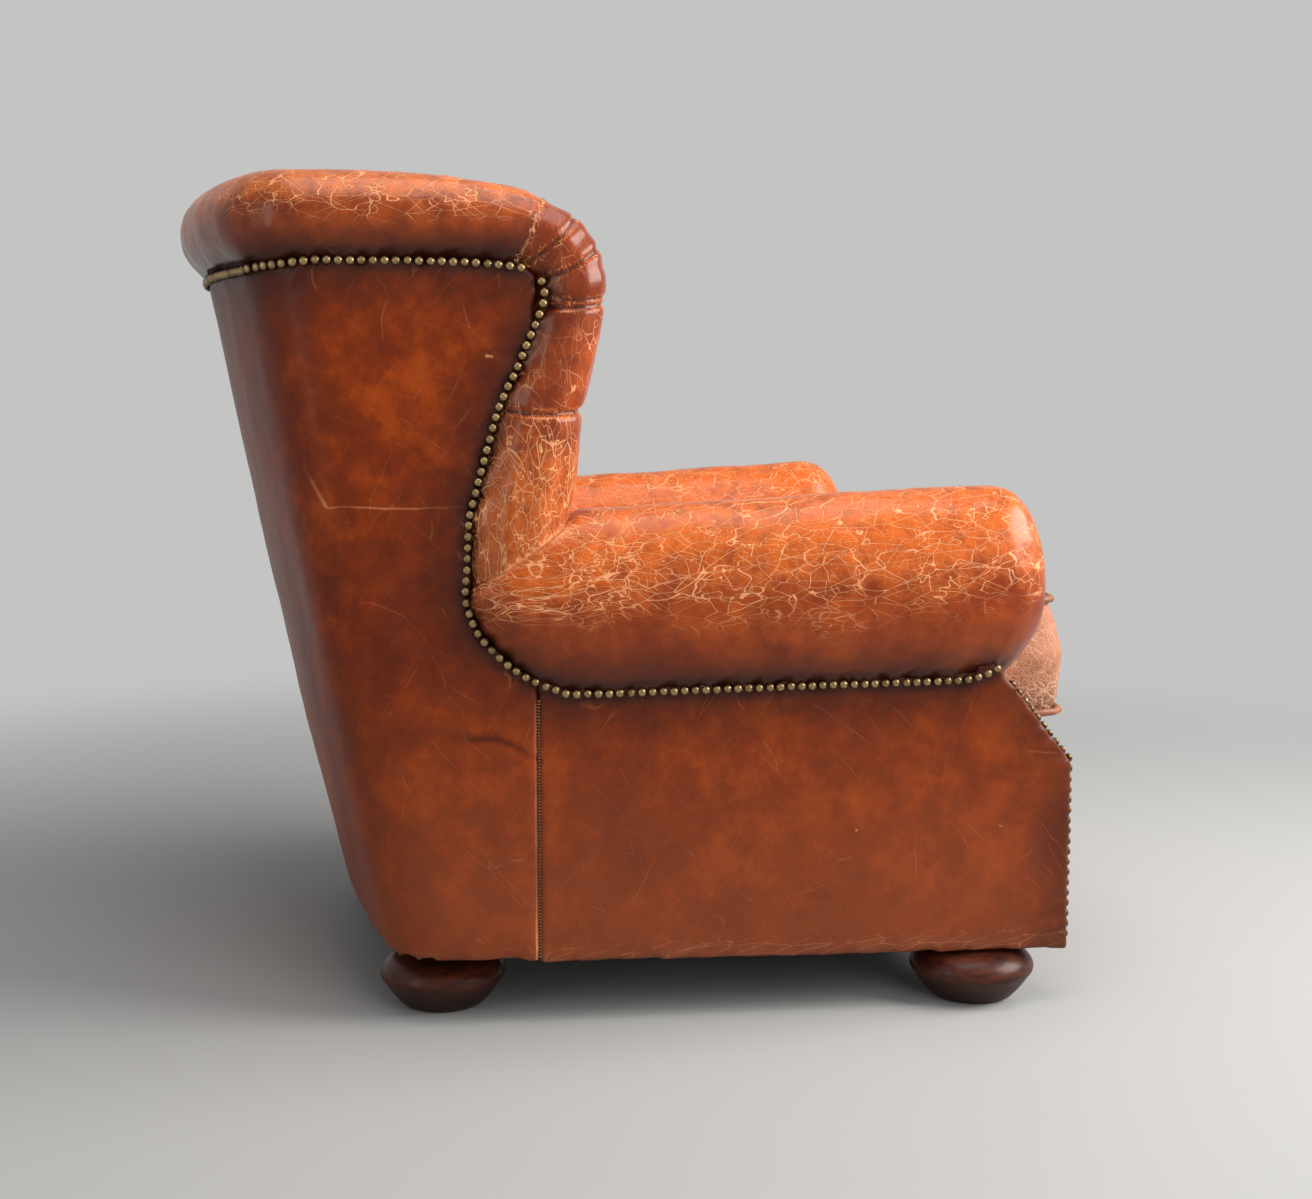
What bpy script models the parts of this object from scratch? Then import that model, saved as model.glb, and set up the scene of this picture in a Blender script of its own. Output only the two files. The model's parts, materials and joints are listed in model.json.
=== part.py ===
"""Low wing-back club chair in worn leather, on four turned bun feet.

Units are metres, +Z is up and the chair faces -Y. The origin is on the floor at the middle of the chair.
Right means the sitter's right, which is the side with negative X.
"""

import math

import bmesh
import bpy
from mathutils import Matrix, Vector

# Driving dimensions of the base
FRONT_Y = -0.440
HALF_WIDTH_FRONT = 0.397
SIDE_TAPER = math.tan(math.radians(5.5))
INNER_HALF_FRONT = 0.262
INNER_TAPER = 0.035
BASE_Z = 0.061
SEAM_BASE_Z = 0.069
BACK_BASE_Z = 0.071
KNEE_Z = 0.273
BROW_Y = -0.356
BROW_Z = 0.380
SEAM_Y = 0.147

# Layers of the upholstery
GAP = 0.0003
CUTTER_GROWTH = 0.0004
COVER = 0.008
WING_PLY = 0.018
WING_PAD = 0.031
ARM_PAD = 0.022

# Outside back, seen from above and from the side
BACK_Y_AT_FLOOR = 0.3125
BACK_RAKE = 0.205
BACK_BULGE = 0.0055
BACK_SLOPE_LOW = math.radians(9)
BACK_SLOPE_HIGH = math.radians(18)
CORNER_RADIUS_LOW = 0.052
CORNER_RADIUS_HIGH = 0.085
HEM_TUCK = 0.005

# Arm rolls
ARM_TOP_Z = 0.579
ARM_DROP = 0.022
ARM_CENTRE_Z = 0.462
ARM_HALF_HEIGHT = 0.1185
ARM_BULGE = 0.026
ARM_INNER_BULGE = 0.0
ARM_FRONT_Y = -0.423
ARM_FRONT_ROUND = 0.063
ARM_CHIN_Y = -0.300
ARM_CHEEK_Y = -0.325
ARM_NOSE_START_Y = 0.100
ARM_NOSE_Y = 0.2205
MITRE = ((0.093, 0.556), (0.220, 0.470))
ARM_SEAT_Z = 0.352
ARM_SIDES = 16

# Wing roll in the side view: a point on its outer edge, the nail line across from it and half its thickness
ROLL_DEPTH = 0.032
WING_ROLL = (
    (0.1090, 0.448, 0.2130, 0.448, 0.0565),
    (0.1080, 0.500, 0.2205, 0.500, 0.058),
    (0.1070, 0.550, 0.2180, 0.547, 0.057),
    (0.1000, 0.590, 0.2085, 0.584, 0.056),
    (0.0965, 0.630, 0.1965, 0.628, 0.053),
    (0.0925, 0.662, 0.1860, 0.664, 0.050),
    (0.0830, 0.703, 0.1670, 0.705, 0.046),
    (0.0750, 0.735, 0.1530, 0.737, 0.044),
    (0.0705, 0.760, 0.1440, 0.758, 0.043),
    (0.0680, 0.785, 0.1385, 0.776, 0.043),
    (0.0695, 0.813, 0.1390, 0.789, 0.0435),
    (0.0810, 0.842, 0.1430, 0.799, 0.0435),
    (0.1025, 0.866, 0.1520, 0.8065, 0.0435),
    (0.1340, 0.884, 0.1670, 0.8110, 0.0440),
)
WING_SIDES = 10
PLEAT_PLACES = (5.0, 8.7, 10.0, 11.2)
PLEAT_HALF_WIDTH = 0.28
PLEAT_DEPTH = 0.0035
TOP_ROLL_RISE = ((0.180, 0.8495, 0.0455), (0.205, 0.8530, 0.0462), (0.230, 0.8555, 0.0475), (0.281, 0.858, 0.050))
TOP_ROLL_Z = 0.858
TOP_ROLL_RADIUS = 0.050
TOP_ROLL_INSET = 0.028
TOP_ROLL_FLATTENING = 0.76
TOP_SEAM_DEPTH = 0.0025

# Inside back and seat
INSIDE_BACK = (
    (0.248, 0.150),
    (0.358, 0.145),
    (0.372, 0.146),
    (0.440, 0.152),
    (0.600, 0.203),
    (0.760, 0.276),
    (0.800, 0.298),
    (0.801, 0.2986),
    (0.836, 0.324),
    (0.862, 0.356),
    (0.872, 0.392),
)
BACK_PAD_TOP_Y = 0.430
BACK_HOLLOW = 0.018
BACK_PAD_LOW_HALF = 0.234
BACK_PAD_LEDGE_Z = 0.365
DECK_Z = 0.2925
DECK_THICKNESS = 0.042
CUSHION_FRONT_Y = -0.5045
CUSHION_HALF_FRONT = 0.252
CUSHION_HALF_REAR = 0.230
CUSHION_WELT_LOW_Z = 0.302
CUSHION_WELT_HIGH_Z = 0.436
CUSHION_CROWN = 0.024
CUSHION_CORNER = 0.035
CUSHION_LEAN = 0.013
WELT_RADIUS = 0.0058

# Timber frame
RAIL_Z = 0.085
RAIL_HEIGHT = 0.104
RAIL_THICKNESS = 0.030
FRONT_RAIL_TOP_Z = 0.235
POST_DEPTH = 0.086
ARM_RAIL_HEIGHT = 0.040
BACK_POST_X = 0.225
BACK_POST_WIDTH = 0.040
BACK_POST_DEPTH = 0.042
BACK_FRAME_INSET = 0.050
TOP_RAIL_Z = 0.760
TOP_RAIL_HEIGHT = 0.040
LUMBAR_RAIL_Z = 0.420
SPRING_RAIL_Z = 0.198
SPRING_WIRE = 0.0036
SPRING_COUNT = 4
SPRING_PITCH_X = 0.104
SPRING_LOOPS = 6
SPRING_HALF_WIDTH = 0.022
DUST_CLOTH = 0.003

# Feet: radius and height down the outside of the turning
FOOT_PROFILE = (
    (0.0, 0.0812),
    (0.025, 0.0812),
    (0.027, 0.0590),
    (0.049, 0.0565),
    (0.0640, 0.0480),
    (0.0715, 0.0360),
    (0.0690, 0.0265),
    (0.0570, 0.0115),
    (0.0420, 0.0),
    (0.0, 0.0),
)
FOOT_SIDES = 12
FRONT_FOOT = (0.344, -0.348)
REAR_FOOT = (0.237, 0.241)

# Nail trim
NAIL_PITCH = 0.0116
NAIL_RADIUS = 0.0049
NAIL_HEIGHT = 0.0040
NAIL_EDGE = 0.0058

LEATHER = ("worn_leather", (0.42, 0.125, 0.035), 0.42, 0.0)
DARK_LEATHER = ("panel_leather", (0.33, 0.082, 0.022), 0.36, 0.0)
CUSHION_LEATHER = ("cushion_leather", (0.36, 0.17, 0.10), 0.62, 0.0)
TIMBER = ("frame_timber", (0.62, 0.46, 0.29), 0.7, 0.0)
FOOT_WOOD = ("stained_wood", (0.075, 0.022, 0.014), 0.35, 0.0)
STEEL = ("spring_steel", (0.42, 0.42, 0.43), 0.4, 1.0)
CLOTH = ("dust_cloth", (0.02, 0.02, 0.02), 0.9, 0.0)
BRASS = ("antique_brass", (0.34, 0.27, 0.17), 0.38, 1.0)


def clear_scene():
    for obj in list(bpy.data.objects):
        bpy.data.objects.remove(obj, do_unlink=True)


def new_collection(name):
    made = bpy.data.collections.new(name)
    bpy.context.scene.collection.children.link(made)
    return made


def material(finish):
    name, colour, roughness, metallic = finish
    found = bpy.data.materials.get(name)
    if found:
        return found
    made = bpy.data.materials.new(name)
    made.use_nodes = True
    shader = made.node_tree.nodes["Principled BSDF"]
    shader.inputs["Base Color"].default_value = (*colour, 1.0)
    shader.inputs["Roughness"].default_value = roughness
    shader.inputs["Metallic"].default_value = metallic
    made.diffuse_color = (*colour, 1.0)
    return made


clear_scene()
CHAIR = new_collection("wing_club_chair")
CUTTERS = new_collection("cutters")


def add_object(name, mesh, finish, collection=None):
    obj = bpy.data.objects.new(name, mesh)
    (collection or CHAIR).objects.link(obj)
    mesh.materials.clear()
    mesh.materials.append(material(finish))
    if collection == CUTTERS:
        obj.hide_render = True
        obj.display_type = "WIRE"
    return obj


def settle(obj):
    """Replaces the object's modifiers, or its curve, with the mesh that they make, in world space."""
    bpy.context.view_layer.update()
    graph = bpy.context.evaluated_depsgraph_get()
    mesh = bpy.data.meshes.new_from_object(obj.evaluated_get(graph))
    mesh.transform(obj.matrix_world)
    name, users = obj.name, list(obj.users_collection)
    materials = [slot.material for slot in obj.material_slots]
    bpy.data.objects.remove(obj, do_unlink=True)
    bm = bmesh.new()
    bm.from_mesh(mesh)
    bmesh.ops.remove_doubles(bm, verts=bm.verts, dist=0.00002)
    bm.normal_update()
    bmesh.ops.triangulate(bm, faces=bm.faces)
    bmesh.ops.recalc_face_normals(bm, faces=bm.faces)
    bm.to_mesh(mesh)
    bm.free()
    mesh.materials.clear()
    for entry in materials:
        mesh.materials.append(entry)
    made = bpy.data.objects.new(name, mesh)
    for collection in users:
        collection.objects.link(made)
    if CUTTERS in users:
        made.hide_render = True
        made.display_type = "WIRE"
    return made


def mirrored(obj, name):
    """The same piece on the sitter's left."""
    mesh = obj.data.copy()
    mesh.transform(Matrix.Diagonal((-1, 1, 1, 1)))
    mesh.flip_normals()
    made = bpy.data.objects.new(name, mesh)
    for collection in obj.users_collection:
        collection.objects.link(made)
    made.hide_render = obj.hide_render
    made.display_type = obj.display_type
    return made


def mirror_pair(obj):
    return mirrored(obj, obj.name.replace("right", "left"))


def loft(name, rings, finish, collection=None):
    """A closed solid through rings of equally many points, with a flat cap at each end."""
    bm = bmesh.new()
    loops = [[bm.verts.new(point) for point in ring] for ring in rings]
    count = len(rings[0])
    for here, there in zip(loops, loops[1:]):
        for i in range(count):
            j = (i + 1) % count
            bm.faces.new((here[i], here[j], there[j], there[i]))
    bm.faces.new(loops[0])
    bm.faces.new(loops[-1])
    bm.normal_update()
    bmesh.ops.triangulate(bm, faces=bm.faces)
    bmesh.ops.recalc_face_normals(bm, faces=bm.faces)
    mesh = bpy.data.meshes.new(name)
    bm.to_mesh(mesh)
    bm.free()
    return add_object(name, mesh, finish, collection)


def plan_block(name, outline, low, high, finish):
    """A solid with this outline in plan, from one height to another."""
    return loft(name, [[(x, y, z) for x, y in outline] for z in (low, high)], finish)


def poly_tube(name, points, radii, resolution, finish, collection=None, cyclic=False):
    """A round bar along these points, with a radius at each."""
    curve = bpy.data.curves.new(name, "CURVE")
    curve.dimensions = "3D"
    curve.bevel_depth = 1.0
    curve.bevel_resolution = resolution
    curve.use_fill_caps = not cyclic
    spline = curve.splines.new("POLY")
    spline.points.add(len(points) - 1)
    for place, point, radius in zip(spline.points, points, radii):
        place.co = (*point, 1.0)
        place.radius = radius
    spline.use_cyclic_u = cyclic
    curve.materials.append(material(finish))
    obj = bpy.data.objects.new(name, curve)
    (collection or CHAIR).objects.link(obj)
    return settle(obj)


def keep_largest(obj):
    """Drops the slivers that a cut leaves beside the piece."""
    bm = bmesh.new()
    bm.from_mesh(obj.data)
    left, bodies = set(bm.verts), []
    while left:
        body, edge = set(), [left.pop()]
        while edge:
            vert = edge.pop()
            body.add(vert)
            near = {link.other_vert(vert) for link in vert.link_edges} & left
            left -= near
            edge.extend(near)
        bodies.append(body)
    bodies.sort(key=len)
    for body in bodies[:-1]:
        bmesh.ops.delete(bm, geom=list(body), context="VERTS")
    bm.to_mesh(obj.data)
    bm.free()
    return obj


def cut(obj, cutters):
    """Takes the cutters' shapes out of a piece."""
    for cutter in cutters:
        modifier = obj.modifiers.new(cutter.name, "BOOLEAN")
        modifier.operation = "DIFFERENCE"
        modifier.object = cutter
    return keep_largest(settle(obj))


def grown(obj, name, by=CUTTER_GROWTH):
    """A cutter a little larger than a piece, so that what it cuts keeps clear of the piece."""
    bm = bmesh.new()
    bm.from_mesh(obj.data)
    bm.normal_update()
    moves = [(vert, vert.normal * by * vert.calc_shell_factor()) for vert in bm.verts]
    for vert, move in moves:
        vert.co += move
    mesh = bpy.data.meshes.new(name)
    bm.to_mesh(mesh)
    bm.free()
    return add_object(name, mesh, LEATHER, CUTTERS)


def lerp(a, b, t):
    return a + (b - a) * t


def interpolate(table, at, column=1):
    """Reads a value from rows sorted by their first column."""
    if at <= table[0][0]:
        return table[0][column]
    for low, high in zip(table, table[1:]):
        if at <= high[0]:
            share = (at - low[0]) / (high[0] - low[0])
            return lerp(low[column], high[column], share)
    return table[-1][column]


def smooth_path(points, steps):
    """A Catmull-Rom curve through the points, with this many steps between two of them."""
    points = [Vector(p) for p in points]
    ends = [2 * points[0] - points[1], *points, 2 * points[-1] - points[-2]]
    path = []
    for a, b, c, d in zip(ends, ends[1:], ends[2:], ends[3:]):
        for step in range(steps):
            t = step / steps
            path.append(
                0.5 * (2 * b + (c - a) * t + (2 * a - 5 * b + 4 * c - d) * t**2
                       + (3 * b - 3 * c + d - a) * t**3)
            )
    path.append(points[-1])
    return path


def side_x(y, depth=0.0):
    """X of a point on the right side panel, or this deep inside it."""
    return -HALF_WIDTH_FRONT + SIDE_TAPER * (y - FRONT_Y) + depth


def inner_x(y, outward=0.0):
    """X of the right arm's inside face, or a point outward of it."""
    return -INNER_HALF_FRONT + INNER_TAPER * (y - FRONT_Y) - outward


def back_share(z):
    """How far up the back this height is, from 0 at the hem to 1 at the top roll."""
    return min(max((z - BACK_BASE_Z) / (TOP_ROLL_Z - BACK_BASE_Z), 0.0), 1.0)


def back_y(z):
    """The middle of the outside back at this height."""
    share = back_share(z)
    return frame_y(z) + 4 * BACK_BULGE * share * (1 - share)


def frame_y(z):
    """The straight line that the back's frame follows."""
    return BACK_Y_AT_FLOOR + BACK_RAKE * z


def back_slope(z):
    """The angle at which the bowed back meets the corner."""
    return lerp(BACK_SLOPE_LOW, BACK_SLOPE_HIGH, back_share(z))


SIDE_ANGLE = math.pi / 2 - math.atan(SIDE_TAPER)


def corner(z):
    """The rear corner's radius at this height, and its run in X and Y."""
    slope = back_slope(z)
    radius = lerp(CORNER_RADIUS_LOW, CORNER_RADIUS_HIGH, min(1.0, 1.6 * back_share(z)))
    run_x = radius * (math.sin(SIDE_ANGLE) - math.sin(slope))
    return radius, run_x, radius * (math.cos(slope) - math.cos(SIDE_ANGLE))


def bow_radius(z):
    """Radius of the bowed back, so that its corner lands on the tapered side."""
    _, run_x, run_y = corner(z)
    reach = -side_x(back_y(z) - run_y) - run_x
    slope = back_slope(z)
    return reach / (math.sin(slope) - SIDE_TAPER * (1 - math.cos(slope)))


def corner_start_y(z):
    """Where the side panel starts to turn into the back corner."""
    return back_y(z) - bow_radius(z) * (1 - math.cos(back_slope(z))) - corner(z)[2]


def back_outline(z, offset=0.0, corner_steps=4, bow_steps=2):
    """Points of the outside back from the right corner's start to the middle, moved inwards by an offset."""
    bow, middle, radius, slope = bow_radius(z), back_y(z), corner(z)[0], back_slope(z)
    shoulder = Vector((-bow * math.sin(slope), middle - bow * (1 - math.cos(slope))))
    points = []
    for step in range(corner_steps + 1):
        angle = lerp(SIDE_ANGLE, slope, step / corner_steps)
        turn = Vector((math.sin(slope) - math.sin(angle), math.cos(angle) - math.cos(slope)))
        inward = Vector((math.sin(angle), -math.cos(angle)))
        points.append(shoulder + radius * turn + offset * inward)
    for step in range(1, bow_steps + 1):
        angle = lerp(slope, 0.0, step / bow_steps)
        place = Vector((-bow * math.sin(angle), middle - bow * (1 - math.cos(angle))))
        points.append(place + offset * Vector((math.sin(angle), -math.cos(angle))))
    return [(p.x, p.y) for p in points]


def whole_back_outline(z, offset, **steps):
    """The outside back from the right corner round to the left one."""
    half = back_outline(z, offset, **steps)
    return half + [(-x, y) for x, y in half[-2::-1]]


# Arm rolls


def arm_section(y):
    """Centre X, half width, centre Z, height above and depth below the centre of the arm roll at this place."""
    start = ARM_FRONT_Y + ARM_FRONT_ROUND
    top = ARM_TOP_Z - ARM_DROP * max(0.0, y - start) / (ARM_NOSE_START_Y - start)
    outer = side_x(y) - ARM_BULGE
    inner = inner_x(y) + ARM_INNER_BULGE
    centre_x, half = (outer + inner) / 2, (inner - outer) / 2
    centre_z, up, down = ARM_CENTRE_Z, top - ARM_CENTRE_Z, ARM_HALF_HEIGHT
    if y < start:
        share = min(1.0, (start - y) / ARM_FRONT_ROUND)
        end = (1 - share**2.2) ** (1 / 2.2)
        up *= end
    if y < ARM_CHEEK_Y:
        share = min(1.0, (ARM_CHEEK_Y - y) / (ARM_CHEEK_Y - ARM_FRONT_Y))
        half *= math.sqrt(1 - share**2)
    if y < ARM_CHIN_Y:
        share = min(1.0, (ARM_CHIN_Y - y) / (ARM_CHIN_Y - ARM_FRONT_Y))
        down *= math.sqrt(1 - share**2)
    if y > ARM_NOSE_START_Y:
        share = min(1.0, (y - ARM_NOSE_START_Y) / (ARM_NOSE_Y - ARM_NOSE_START_Y))
        down *= (1 - share**1.62) ** (1 / 1.62)
        half *= (1 - share**4) ** 0.25
    return centre_x, half, centre_z, max(up, 0.0), down


def arm_ring(y):
    centre_x, half, centre_z, up, down = arm_section(y)
    ring = []
    for i in range(ARM_SIDES):
        angle = 2 * math.pi * (i + 0.5) / ARM_SIDES
        rise = math.sin(angle)
        z = centre_z + (up if rise > 0 else down) * rise
        ring.append((centre_x + half * math.cos(angle), y, max(z, ARM_SEAT_Z)))
    return ring


def arm_places():
    start = ARM_FRONT_Y + ARM_FRONT_ROUND
    front = [start - ARM_FRONT_ROUND * share for share in (0.985, 0.93, 0.8, 0.6, 0.3, 0.0)]
    middle = [lerp(start, ARM_NOSE_START_Y, share) for share in (0.13, 0.55, 1.0)]
    length = ARM_NOSE_Y - ARM_NOSE_START_Y
    nose = [ARM_NOSE_START_Y + length * share for share in (0.3, 0.55, 0.76, 0.9, 0.97)]
    return front + middle + nose


def mitre_block(name, above):
    """A cutter for everything above, or below, the plane where the arm and wing rolls meet."""
    (y0, z0), (y1, z1) = MITRE
    along = Vector((y1 - y0, z1 - z0)).normalized()
    up = Vector((-along.y, along.x)) * (1 if above else -1)
    near = Vector((y0, z0)) - along * 0.15 + up * GAP
    far = Vector((y1, z1)) + along * 0.15 + up * GAP
    outline = [near, far, far + up * 0.3, near + up * 0.3]
    rings = [[(x, p.x, p.y) for p in outline] for x in (-0.5, -0.15)]
    return loft(name, rings, LEATHER, CUTTERS)


def make_arm_roll():
    roll = loft("arm_roll_right", [arm_ring(y) for y in arm_places()], LEATHER)
    return cut(roll, [mitre_block("mitre_above", True)])


# Wing and top roll


def wing_station(at):
    """The wing roll at this place: its centre and the direction across it in the side view, and half its sizes."""
    index = min(int(at), len(WING_ROLL) - 2)
    t = at - index
    around = [WING_ROLL[min(max(index + k, 0), len(WING_ROLL) - 1)] for k in (-1, 0, 1, 2)]
    values = []
    for a, b, c, d in zip(*around):
        cubic = (3 * b - 3 * c + d - a) * t**3
        values.append(0.5 * (2 * b + (c - a) * t + (2 * a - 5 * b + 4 * c - d) * t**2 + cubic))
    outer, nails = Vector(values[:2]), Vector(values[2:4])
    across = (nails - outer).normalized()
    thick = values[4]
    visible = (nails - outer).length - NAIL_EDGE
    half = visible / (1 + math.sqrt(1 - (ROLL_DEPTH / thick) ** 2))
    return outer + across * half, across, half, thick


def make_wing_roll():
    last = len(WING_ROLL) - 1
    places = {float(i) for i in range(last + 1)}
    places = {p for p in places if all(abs(p - at) > 1.5 * PLEAT_HALF_WIDTH for at in PLEAT_PLACES)}
    places |= {at + PLEAT_HALF_WIDTH * side for at in PLEAT_PLACES for side in (-1, 0, 1)}
    rings = []
    for place in sorted(places):
        centre, across, half, thick = wing_station(place)
        dent = PLEAT_DEPTH if place in PLEAT_PLACES else 0.0
        dent = TOP_SEAM_DEPTH if place == last else dent
        ring = []
        for i in range(WING_SIDES):
            angle = 2 * math.pi * i / WING_SIDES
            y, z = centre + across * (half - dent) * math.cos(angle)
            ring.append((side_x(y, ROLL_DEPTH) + (thick - dent) * math.sin(angle), y, z))
        rings.append(ring)
    roll = loft("wing_roll_right", rings, LEATHER)
    return cut(roll, [mitre_block("mitre_below", False)])


def top_roll_rings():
    """Rings from the right wing's top seam to the middle of the back."""
    seam, across, half, _ = wing_station(len(WING_ROLL) - 1)
    along = Vector((-across.y, across.x))
    start = [(*(seam + along * 3 * GAP), half - TOP_SEAM_DEPTH), (*(seam + along * 0.007), half + 0.001)]
    path = [(Vector((side_x(y, ROLL_DEPTH), y, z)), radius) for y, z, radius in (*start, *TOP_ROLL_RISE)]
    turn_y = corner_start_y(TOP_ROLL_Z)
    y = lerp(TOP_ROLL_RISE[-1][0], turn_y, 0.6)
    path.append((Vector((side_x(y, ROLL_DEPTH), y, TOP_ROLL_Z)), TOP_ROLL_RADIUS))
    shift = ROLL_DEPTH - TOP_ROLL_INSET
    for step, (x, y) in enumerate(back_outline(TOP_ROLL_Z, TOP_ROLL_INSET, corner_steps=5, bow_steps=3)):
        ease = min(1.0, step / 5)
        path.append((Vector((x + shift * (1 - ease), y, TOP_ROLL_Z)), TOP_ROLL_RADIUS))
    rings = []
    for i, (centre, radius) in enumerate(path):
        before = path[max(i - 1, 0)][0]
        after = path[i + 1][0] if i + 1 < len(path) else Vector((-before.x, before.y, before.z))
        direction = (after - before).normalized()
        level = Vector((direction.y, -direction.x, 0)).normalized()
        level = Vector((1, 0, 0)).lerp(level, min(1.0, i / 3)).normalized()
        upright = level.cross(direction).normalized()
        if i == 0:
            upright = -Vector((SIDE_TAPER * across.x, across.x, across.y))
        inside = lerp(1.0, TOP_ROLL_FLATTENING, min(max((i - 2) / 4, 0.0), 1.0))
        ring = []
        for side in range(WING_SIDES):
            angle = 2 * math.pi * side / WING_SIDES
            reach = math.sin(angle) * (inside if math.sin(angle) > 0 else 1.0)
            ring.append(centre + radius * (math.cos(angle) * upright + reach * level))
        rings.append(ring)
    return rings


def make_top_roll():
    half = top_roll_rings()
    other = [[Vector((-p.x, p.y, p.z)) for p in ring] for ring in half[-2::-1]]
    return loft("top_roll", half + other, LEATHER)


# Covers and pads


def wing_edge_y(z):
    """How far forward the wing's flat layers reach at this height, so that the rolls trim them."""
    rows = [(BASE_Z, SEAM_Y), (BROW_Z, SEAM_Y)]
    for station in range(len(WING_ROLL)):
        centre = wing_station(station)[0]
        rows.append((centre.y, centre.x))
    return interpolate(rows, z)


def hem_z(y):
    """The lower edge of the covers, which rises a little to the back."""
    return interpolate([(FRONT_Y, BASE_Z), (SEAM_Y, SEAM_BASE_Z), (SEAM_Y + 0.12, BACK_BASE_Z)], y)


def make_rear_cover():
    """The hide that wraps the wings and the back, from one side seam round to the other."""
    top = TOP_ROLL_Z - TOP_ROLL_RADIUS * 0.4
    rows = []
    levels = ((0.0, HEM_TUCK), (0.022, 0.0), (0.35, 0.0), (0.7, 0.0), (1.0, 0.0))
    for share, tuck in levels:
        level = lerp(BACK_BASE_Z, top, share)
        start, turn = wing_edge_y(level) + 4 * GAP, corner_start_y(level)
        row = [(side_x(start, tuck), start)]
        row += back_outline(level, tuck, corner_steps=4, bow_steps=3)
        row = [(x, y, level - (1 - share) * (BACK_BASE_Z - hem_z(y))) for x, y in row]
        rows.append(row + [(-x, y, z) for x, y, z in row[-2::-1]])
    bm = bmesh.new()
    grid = [[bm.verts.new(point) for point in row] for row in rows]
    for low, high in zip(grid, grid[1:]):
        for i in range(len(low) - 1):
            bm.faces.new((low[i], low[i + 1], high[i + 1], high[i]))
    bmesh.ops.recalc_face_normals(bm, faces=bm.faces)
    mesh = bpy.data.meshes.new("rear_cover")
    bm.to_mesh(mesh)
    bm.free()
    middle = min(mesh.polygons, key=lambda face: (face.center - Vector((0, back_y(0.4), 0.4))).length)
    if middle.normal.y < 0:
        mesh.flip_normals()
    obj = add_object("rear_cover", mesh, DARK_LEATHER)
    shell = obj.modifiers.new("shell", "SOLIDIFY")
    shell.thickness = COVER
    shell.offset = -1
    return settle(obj)


def side_plate(name, outline, depth, thickness, finish):
    """A flat piece in the right side's plane, with this outline of (y, z) points."""
    rings = [[(side_x(y, d), y, z) for y, z in outline] for d in (depth, depth + thickness)]
    return loft(name, rings, finish)


def make_outside_arm():
    high = ARM_CENTRE_Z - 0.35 * ARM_HALF_HEIGHT
    lean = (BROW_Y - FRONT_Y) / (BROW_Z - KNEE_Z)
    outline = (
        (SEAM_Y, SEAM_BASE_Z),
        (FRONT_Y, BASE_Z),
        (FRONT_Y, KNEE_Z),
        (BROW_Y + lean * (high - BROW_Z), high),
        (SEAM_Y, high),
    )
    return side_plate("outside_arm_right", outline, 0.0, COVER, DARK_LEATHER)


def facing_line(inset=0.0):
    """The arm's front edge in the side view, moved back by an inset: foot, knee and a point inside the roll."""
    lean = Vector((BROW_Y - FRONT_Y, BROW_Z - KNEE_Z)).normalized()
    normal = Vector((lean.y, -lean.x))
    knee = Vector((FRONT_Y + inset, KNEE_Z - inset * (1 - normal.x) / lean.y * 0.5))
    high = Vector((BROW_Y, BROW_Z)) + normal * inset + lean * 0.025
    return [(FRONT_Y + inset, BASE_Z), (knee.x, knee.y), (high.x, high.y)]


def make_arm_facing():
    rings = []
    for (y0, z0), (y1, z1) in zip(facing_line(), facing_line(COVER)):
        outer, inner = COVER + GAP, 0.0
        rings.append([
            (side_x(y0, outer), y0, z0),
            (inner_x(y0, inner), y0, z0),
            (inner_x(y1, inner), y1, z1),
            (side_x(y1, outer), y1, z1),
        ])
    return loft("arm_facing_right", rings, DARK_LEATHER)


def make_inside_arm():
    """The padded panel below the arm roll, facing the seat cushion."""
    low = DECK_Z - DECK_THICKNESS
    high = ARM_CENTRE_Z - 0.3 * ARM_HALF_HEIGHT
    front = [(y + 2 * GAP, z) for y, z in facing_line(COVER)]
    front[0] = (front[0][0], low)
    rear_y = interpolate(INSIDE_BACK, high) + 0.03
    lean = (front[2][0] - front[1][0]) / (front[2][1] - front[1][1])
    outline = [*front[:2], (front[1][0] + lean * (high - front[1][1]), high), (rear_y, high), (rear_y, low)]
    rings = [[(inner_x(y, d), y, z) for y, z in outline] for d in (0.0, ARM_PAD)]
    return loft("inside_arm_right", rings, LEATHER)


def make_inside_wing():
    depth = COVER + WING_PLY + 3 * GAP
    low = ARM_SEAT_Z + 0.006
    levels = [low, BROW_Z, 0.50, 0.60, 0.70, 0.80, 0.84]
    front = [(wing_edge_y(z), z) for z in levels]
    rear = [(back_y(z) - 0.124, z) for z in (0.85, low)]
    return side_plate("inside_wing_right", front + rear, depth, WING_PAD, LEATHER)


def behind_wing_roll(z):
    """The first place behind the wing roll, and behind the arm roll's nose, at this height."""
    rows = [(ARM_SEAT_Z, ARM_NOSE_Y), (0.56, ARM_NOSE_Y)]
    for station in range(3, len(WING_ROLL)):
        centre, across, half, _ = wing_station(station)
        edge = centre + across * half
        rows.append((edge.y, edge.x))
    return interpolate(rows, z) + 0.005


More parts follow.
